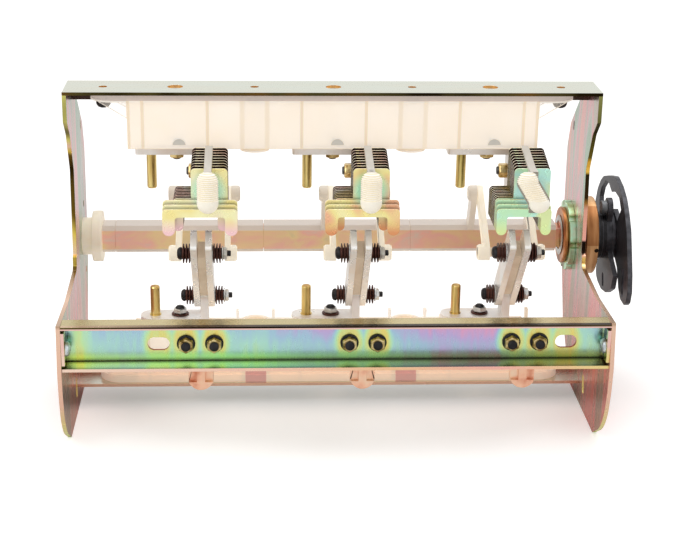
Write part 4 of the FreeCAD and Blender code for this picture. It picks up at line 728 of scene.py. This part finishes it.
# Earthing contacts: bare copper pieces behind the channel, each with a fin for the blades and a round lower
# end. Two bolts each go forward through the web, where a dark washer, a nut and the bolt's black end show.
bare_copper, shader, coords = new_material("bare_copper", {"Metallic": 0.9})
copper_clouds = add_noise(coords["Object"], 55.0, 4.0)
fill(shader, {"Base Color": add_ramp(copper_clouds, (0.36, 255, 220, 190), (0.55, 255, 200, 168),
                                     (0.72, 226, 146, 116)),
              "Roughness": add_math("MULTIPLY_ADD", copper_clouds, 0.3, 0.2)})
for k in (1, 2, 3):
    dressed("earth_contact_%d" % k, bare_copper, 0.0006)
nut_gold = brushed("nut_gold", ((96, 78, 44), (176, 150, 96), (226, 206, 150), (120, 100, 60)), 0.28, 130.0)
washer = [(8.2, 0.0), (8.5, 0.3), (8.5, 1.1), (8.0, 1.5), (4.2, 1.5)]
earth_end = [(4.4, 0.0), (4.4, 1.6), (3.8, 2.2), (2.0, 2.5)]
for stem, piece, axis, y, node, material, edge in (
        ("earth_washer_", turned(washer), "-y", -126.0, "earth_nuts", black_oxide, 0.0),
        ("earth_nut_", nut(7.5, 6.2), "-y", -127.5, "earth_nuts", nut_gold, 0.0005),
        ("earth_bolt_end_", turned(earth_end), "-y", -133.5, "earth_bolts", black_oxide, 0.0),
        ("earth_bolt_head_", nut(7.5, 4.0), "y", -119.0, "earth_bolts", black_oxide, 0.0004)):
    places = [(stem + mark, spot(x, y, bolt_height)) for mark, x in earth_bolts]
    copies(piece, axis, places, node, material, edge)

# Arc chutes: nine tall and three low splitter plates of thin passivated steel for each phase, slotted onto an
# insulating comb. Their cut edges run gold, white and pink; the faces differ a little from phase to phase.
for k, straw, mint, leg in (
        (1, ((253, 238, 160), (255, 252, 196), (255, 238, 206)), (206, 252, 216), (255, 210, 214)),
        (2, ((248, 190, 150), (254, 240, 160), (255, 248, 184)), (190, 248, 208), (228, 154, 104)),
        (3, ((200, 246, 200), (190, 244, 230), (230, 246, 180)), (190, 240, 234), (228, 248, 170))):
    plate_steel, shader, coords, skin = passivated("arc_plate_steel_%d" % k, (0, 1, 0), 20.0, 0.1, 0.2)
    face_tint = add_ramp(
        add_noise(coords["Object"], 34.0, 1.0),
        *((place, *tone) for place, tone in zip((0.38, 0.5, 0.64), straw)))
    beside_nose = measure("DISTANCE", coords["Object"], spot(phase_middles[k - 1] + 31.9, -70.0, 236.0))
    face_tint = add_mix(add_fade(beside_nose, 0.020, 0.011), face_tint, mint)
    face_tint = add_mix(band(coords, "Z", 0.214, 0.200), face_tint, leg)
    cut_edge = add_ramp(
        add_noise(coords["Object"], 30.0), (0.38, 232, 206, 140), (0.5, 255, 246, 222), (0.6, 255, 210, 190))
    tinted = add_mix(skin.outputs["Edge"], face_tint, cut_edge)
    # Painted shade: plate faces in the gaps, those behind the front plate and those facing back, are painted
    # dark brown. The plates also give off a little painted light of their own tint.
    behind = band(coords, "Y", -0.0748, -0.0745)
    unlit = add_math("MAXIMUM", behind, looking(coords, "Y", 0.7))
    gap_shade = both(unlit, looking(coords, "Y", 0.7, either_way=True))
    plate_tint = add_mix(gap_shade, tinted, (40, 26, 14))
    fill(shader, {"Base Color": plate_tint, "Emission Color": plate_tint, "Emission Strength": 0.12,
                  "Metallic": 0.3})
    dressed("arc_plates_%d" % k, plate_steel, 0.00018, 1)

# Arc combs: a milky strip that holds the splitter plates, bolted to the contact's leg, with a thick nose in
# front. The nose is finely ribbed over its upper part and smooth at its round lower end; the right one leans.
strip_clear = moulding("strip_clear", (226, 222, 214), (206, 200, 190), 0.3, 0.34, 0.1)
nose_ivory = moulding("nose_ivory", (255, 252, 242), (255, 246, 226), 0.1, 0.4, 0.15)
nose_radius, groove_radius, nose_foot, nose_offset, nose_back = 10, 8.7, 219, 7.4, -86.0
first_rib, rib_pitch, shoulder, dome_height = 232.0, 1.9, 248, 10.6
shader, coords, nose_body = opened(nose_ivory)
wave_rate = 2 * math.pi / (rib_pitch / 1000)
wave_start = -first_rib / 1000 * wave_rate - 1.6
upwards = axis_of(coords["Object"], "Z")
wave = add_math("SINE", add_math("MULTIPLY_ADD", upwards, wave_rate, wave_start))
# The grooves between the nose's ribs are painted darker and warmer: painted shade.
groove = both(add_math("GREATER_THAN", wave, 0.1), band(coords, "Z", 0.2315, 0.2335), 0.6)
fill(shader, {"Base Color": add_mix(groove, nose_body, (226, 206, 166))})

nose_steps = []
for degrees in range(0, 91, 15):
    angle = math.radians(degrees)
    nose_steps.append((max(0.8, nose_radius * math.sin(angle)),
                       nose_foot + nose_radius * (1 - math.cos(angle))))
height = first_rib
while height < 255.0:
    over = max(0.0, (height - shoulder) / dome_height)
    swell = math.sqrt(max(0.05, 1 - over ** 2))
    crest, root = nose_radius * swell, groove_radius * swell
    nose_steps += [(crest, height), (root, height + 0.4), (root, height + 0.9), (crest, height + 1.3)]
    height += rib_pitch
nose_steps += [(4.0, 258.3)]
lean_foot, lean_height = 229, 19.5
for k, middle in enumerate(phase_middles, start=1):
    node = "arc_comb_%d" % k
    strip = merged_copy(node, "comb_strip_%d" % k)
    cut_off(strip, spot(0, nose_back + 0.05, 0), (0, -1, 0))
    finish_piece(strip, node, strip_clear, 0.0005)
    nose = turned(nose_steps, 36)
    nose.name = "comb_nose_%d" % k
    choose(nose, "faces", lambda face: True)
    bpy.ops.transform.resize(value=(1, 0.8, 1), center_override=(0, 0, 0))
    done(nose)
    cut_off(nose, (0, 0, 0), (0, 1, 0))
    skew = 6.0 if k == 3 else 0.0
    for vertex in nose.data.vertices:
        x, y, z = vertex.co * 1000
        lean = max(-skew, min(skew, skew * (1 - 2 * (z - lean_foot) / lean_height)))
        vertex.co = spot(middle + blade_plane + nose_offset + x + lean, nose_back + y, z)
    finish_piece(nose, node, nose_ivory)

# Side bolts of the combs: grey steel bolts that go through the contact's leg and the comb's strip from the
# right. Each has a brass coloured nut on the left, and its end stands out of the nut.
side_tip = [(4.0, 0.0), (4.0, 1.4), (3.2, 2.0)]
for stem, piece, axis, reach, material, slot, edge in (
        ("side_nut", nut(7.5, 9.4), "-x", -3.9, brass_zinc, "yellow_zinc", 0.0005),
        ("side_bolt_tip", turned(side_tip), "-x", -13.3, grey_oxide, "black_steel", 0.0),
        ("side_bolt_head", nut(7.5, 5.0), "x", 10.9, grey_oxide, "black_steel", 0.0005)):
    places = per_phase(stem, blade_plane + reach, -2.0, 236.0)
    copies(piece, axis, places, "arc_side_bolts", material, edge)

# Moving blades: two silver plated copper blades a phase, hinged on the lower contact's leg and round there.
# Their tips are bevelled to enter the upper contact.
blade_silver = silver_plate("blade_silver", (255, 255, 253), (250, 240, 228), 0.26)
for k in (1, 2, 3):
    dressed("blade_pair_%d" % k, blade_silver, 0.001, 3, "blades_%d" % k)

# Blade spacers: translucent moulded bars that lie between a phase's blades and keep them apart.
# Each has an ear with a cross pin for the links.
spacer_horn = moulding("spacer_horn", (238, 220, 196), (214, 192, 164), 0.15, 0.3, 0.1)
for k in (1, 2, 3):
    dressed("blade_spacer_%d" % k, spacer_horn, 0.0007, body="blades_%d" % k)

# Spring bolts: one at the hinge and one near the tip, each with a black domed head, a bright nut and a black
# end. A copper coloured sleeve on the upper one keeps the blades apart.
hinge_y, hinge_z, blade_lean, tip_reach = 6.0, 105.2, math.radians(41.9), 85
bolt_lines = [("hinge", hinge_y, hinge_z),
              ("tip", hinge_y - tip_reach * math.sin(blade_lean), hinge_z + tip_reach * math.cos(blade_lean))]
sleeve_copper = silver_plate("sleeve_copper", (196, 150, 104), (140, 98, 66), 0.36)
bolt = [(3.9, -40.0), (3.9, -0.1), (6.0, 0.0), (6.2, 1.2), (5.6, 2.8), (4.2, 4.0), (1.8, 4.5)]
bolt_tip = [(2.8, 0.0), (2.8, 3.0), (2.3, 3.5)]
collar = [(6.9, 0.0), (7.2, 0.4), (7.0, 1.2), (5.0, 1.4)]
sleeve = [(5.2, -4.0), (5.5, -3.6), (5.5, 3.6), (5.2, 4.0)]
for k, middle in enumerate(phase_middles, start=1):
    node, body = "spring_bolts_%d" % k, "blades_%d" % k
    for line, y, z in bolt_lines:
        for stem, piece, axis, reach, material, slot, edge in (
                ("spring_bolt", turned(bolt), "-x", -19.0, black_oxide, "black_steel", 0.0),
                ("spring_collar", turned(collar), "x", 19.0, bright_zinc, "bright_steel", 0.0),
                ("spring_nut", nut(6.2, 3.8), "x", 20.2, bright_zinc, "bright_steel", 0.0005),
                ("spring_bolt_end", turned(bolt_tip, 20), "x", 24.0, black_oxide, "black_steel", 0.0)):
            place = ("%s_%s_%d" % (stem, line, k), spot(middle + blade_plane + reach, y, z))
            copies(piece, axis, [place], node, material, edge, body)
    place = ("spring_sleeve_%d" % k, spot(middle + blade_plane, y, z))
    copies(turned(sleeve), "x", [place], node, sleeve_copper, body=body)

# Spring washers: three cupped washers of blackened spring steel under each head and nut, on a thin bright
# washer. They press the blades together on the contacts.
dish = [(4.2, 0.0), (5.6, 0.0), (9.2, 0.7), (9.5, 1.2), (9.2, 1.7), (5.6, 1.1), (5.3, 2.75), (4.2, 2.75)]
thin_washer = [(4.2, 0.0), (8.4, 0.0), (8.4, 0.5), (4.2, 0.5)]
blades_half, washer_thickness, cup_pitch = 10, 0.5, 2.8
for k, middle in enumerate(phase_middles, start=1):
    node, body = "spring_washers_%d" % k, "blades_%d" % k
    for line, y, z in bolt_lines:
        for side, axis, letter in ((-1, "-x", "left"), (1, "x", "right")):
            face = middle + blade_plane + side * blades_half
            mark = "_%s_%s_%d" % (line, letter, k)
            copies(turned(thin_washer, ring=True), axis, [("thin_washer" + mark, spot(face, y, z))], node,
                   bright_zinc, body=body)
            places = [("cup_washer%s_%d" % (mark, i + 1),
                       spot(face + side * (washer_thickness + cup_pitch * i), y, z)) for i in range(3)]
            copies(turned(dish, ring=True), axis, places, node, spring_brown, body=body)

# Links: two insulating cheeks a phase, moulded with a rim round each face and rounded bosses.
# They run from the crank's pins to the blades' cross pin.
link_milk = moulding("link_milk", (252, 246, 232), (242, 232, 212), 0.25, 0.3, 0.2)


def rounded_bosses(piece, middle, reach):
    """Turn the rims of the bosses' end faces over; reach is how far out from the middle they stand."""
    rounded(piece, lambda edge: all(abs(abs(end.co.x - middle) - reach) < 0.0001 for end in edge.verts),
            0.0026, 4)


for k in (1, 2, 3):
    node = "link_%d" % k
    link = merged_copy(node, "link_cheeks_%d" % k)
    link_low, link_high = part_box(node)
    rounded_bosses(link, (link_low.x + link_high.x) / 2, (link_high.x - link_low.x) / 2)
    choose(link, "faces", lambda face: abs(face.normal.x) > 0.99 and face.calc_area() > 0.0002)
    bpy.ops.mesh.inset(thickness=0.0016, depth=-0.0007)
    done(link)
    finish_piece(link, node, link_milk, 0.0009, 3, node)

# Drive shaft: a square passivated steel bar with round journals that turns in the two bearings.
# It is seen through the sleeves as a warm iridescence.
shaft_steel = brushed(
    "shaft_steel", ((206, 178, 120), (236, 190, 140), (236, 160, 136), (206, 170, 160)), 0.3, 30.0)
dressed("drive_shaft", shaft_steel, 0.0006, body="shaft")

# Crank sleeves: clear milky mouldings on the square bar, one for each phase, with two crank arms for the
# links. A short plain sleeve fills the left end; pins join the arms to the links.
# The sleeves give off a little painted light of a warm white.
sleeve_clear, shader, coords = new_material("sleeve_clear", {
    "Roughness": 0.2, "Transmission Weight": 0.12, "IOR": 1.3, "Emission Color": paint((255, 244, 228)),
    "Emission Strength": 0.1})
sleeve_inputs = {"Vector": coords["Object"], "Pale": paint((244, 236, 224)),
                 "Warm": paint((230, 218, 202)), "Scale": 22.0}
sleeve_milk = add_node("Group", sleeve_inputs, node_tree=milk)
axle_y, axle_z = 71.0, 145.9
axle = spot(0.0, axle_y, axle_z)


def near_axle(axis, half, blur):
    """Mask of 1 within half a width of the axle along an axis."""
    return stripe(axis_of(coords["Object"], axis), axle["XYZ".index(axis)], half - blur, 2 * blur)


on_bar = both(near_axle("Y", 0.0146, 0.0002), near_axle("Z", 0.0146, 0.0002))
bar_noise = add_noise(add_stretch(coords, (0.5, 1, 1)), 44.0, 3.0, 0.6)
bar_tint = add_ramp(
    bar_noise, (0.3, 230, 206, 150), (0.42, 252, 218, 150), (0.52, 253, 202, 156), (0.6, 255, 186, 166),
    (0.7, 236, 206, 190))
deeper = add_ramp(band(coords, "X", 0.02, 0.22), (0.0, 255, 255, 255), (1.0, 214, 176, 160))
bar_tint = add_mix(1.0, bar_tint, deeper, "MULTIPLY")
bar_front = both(near_axle("Z", 0.0099, 0.0006), on_bar)
seen_through = add_mix(bar_front, sleeve_milk.outputs["Color"], bar_tint)
bar_top = both(near_axle("Y", 0.0139, 0.0001), on_bar, looking(coords, "Z", 0.3))
fill(shader, {"Base Color": add_mix(bar_top, seen_through, (216, 204, 194))})
for k, middle in enumerate(phase_middles, start=1):
    node = "crank_%d" % k
    crank = merged_copy(node, "crank_sleeve_%d" % k)
    rounded_bosses(crank, spot(middle + blade_plane, 0, 0).x, 0.0356)
    finish_piece(crank, node, sleeve_clear, 0.0008, 2, "shaft")
dressed("end_sleeve", sleeve_clear, 0.0006, body="shaft")
dressed("crank_pins", link_milk, 0.0005, body="shaft")

# Bearings: a moulded collar in the left side plate, a bronze bush with a notched lock nut in the right one.
# A snap ring sits on the journal outside the right bearing.
bearing_ivory = moulding("bearing_ivory", (250, 244, 230), (232, 222, 202), 0.35, 0.4)
dressed("left_bearing", bearing_ivory, 0.0012, 3)
bush_bronze = brushed("bush_bronze", ((230, 170, 120), (190, 122, 76), (134, 84, 52)), 0.34, 60.0, (14, 1, 1))
dressed("right_bearing", bush_bronze, 0.0012, 3)
lock_tones = ((120, 110, 76), (176, 206, 150), (190, 240, 206), (206, 214, 180), (240, 206, 190))
lock_zinc = brushed("lock_zinc", lock_tones, 0.3, 42.0)
dressed("bearing_lock_nut", lock_zinc, 0.0008)
snap = turned([(15.0, 0.0), (20.0, 0.0), (20.6, 0.5), (20.0, 1.0), (15.0, 1.0)], 40, ring=True)
copies(snap, "x", [("journal_ring", spot(238.2, axle_y, axle_z))], "drive_shaft", bright_zinc,
       body="shaft")

# Drive end: a brass disc, the drive lever with its grooved boss and roller, a collar, the sector lever and
# an end nut. The disc is turned brass, its flat and grub screw painted on; the levers are blackened steel.
disc_brass = brushed("disc_brass", ((214, 172, 126), (196, 150, 104), (166, 122, 82)), 0.4, 26.0, (9, 1, 1))
shader, coords, turned_brass = opened(disc_brass)
flat_band = stripe(axis_of(coords["Object"], "Z"), 0.1645, 0.0173, 0.0006)
banded = add_mix(flat_band, turned_brass, (206, 184, 168), "MULTIPLY")
disc_low, disc_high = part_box("drive_disc")
disc_radius = (disc_high.z - disc_low.z) / 2
screw_drop = 0.0042
screw_y = (disc_low.y + disc_high.y) / 2 - math.sqrt(disc_radius ** 2 - screw_drop ** 2)
from_screw = measure("DISTANCE", coords["Object"], (disc_high.x - 0.0024, screw_y, axle.z - screw_drop))
banded = add_mix(add_math("LESS_THAN", from_screw, 0.0022), banded, (36, 26, 18))
fill(shader, {"Base Color": banded})
dressed("drive_disc", disc_brass, 0.001, 3, "shaft")
lever_black = oxide_black("lever_black", (62, 62, 66), 0.4)
for node in ("drive_lever", "drive_hub", "sector_lever"):
    dressed(node, lever_black, 0.0007, body="shaft")
grooves = [(23.4, 0.3), (24.5, 0.6), (24.5, 3.0), (23.4, 3.4), (23.4, 4.0), (24.5, 4.4), (24.5, 7.0),
           (23.4, 7.4), (23.4, 8.0), (24.5, 8.4), (24.5, 11.2), (23.4, 11.6), (22.0, 11.6), (22.0, 0.3)]
roller = [(6.6, -6.0), (7.0, -5.6), (7.0, -0.2), (4.0, 0.0), (4.0, 5.2), (3.4, 5.6)]
for name, piece, place, node, material, slot, edge in (
        ("boss_rings", turned(grooves, 48, ring=True), (273.0, axle_y, axle_z), "drive_lever", black_oxide,
         "black_steel", 0.0),
        ("lever_roller_turned", turned(roller, 32), (285.0, 63.0, 177.9), "lever_roller", grey_oxide,
         "bright_steel", 0.0),
        ("end_nut_chamfered", nut(20.0, 7.0), (294.9, axle_y, axle_z), "shaft_end_nut", grey_oxide,
         "bright_steel", 0.001)):
    copies(piece, "x", [(name, spot(*place))], node, material, edge, "shaft")

bpy.ops.object.select_all(action="DESELECT")
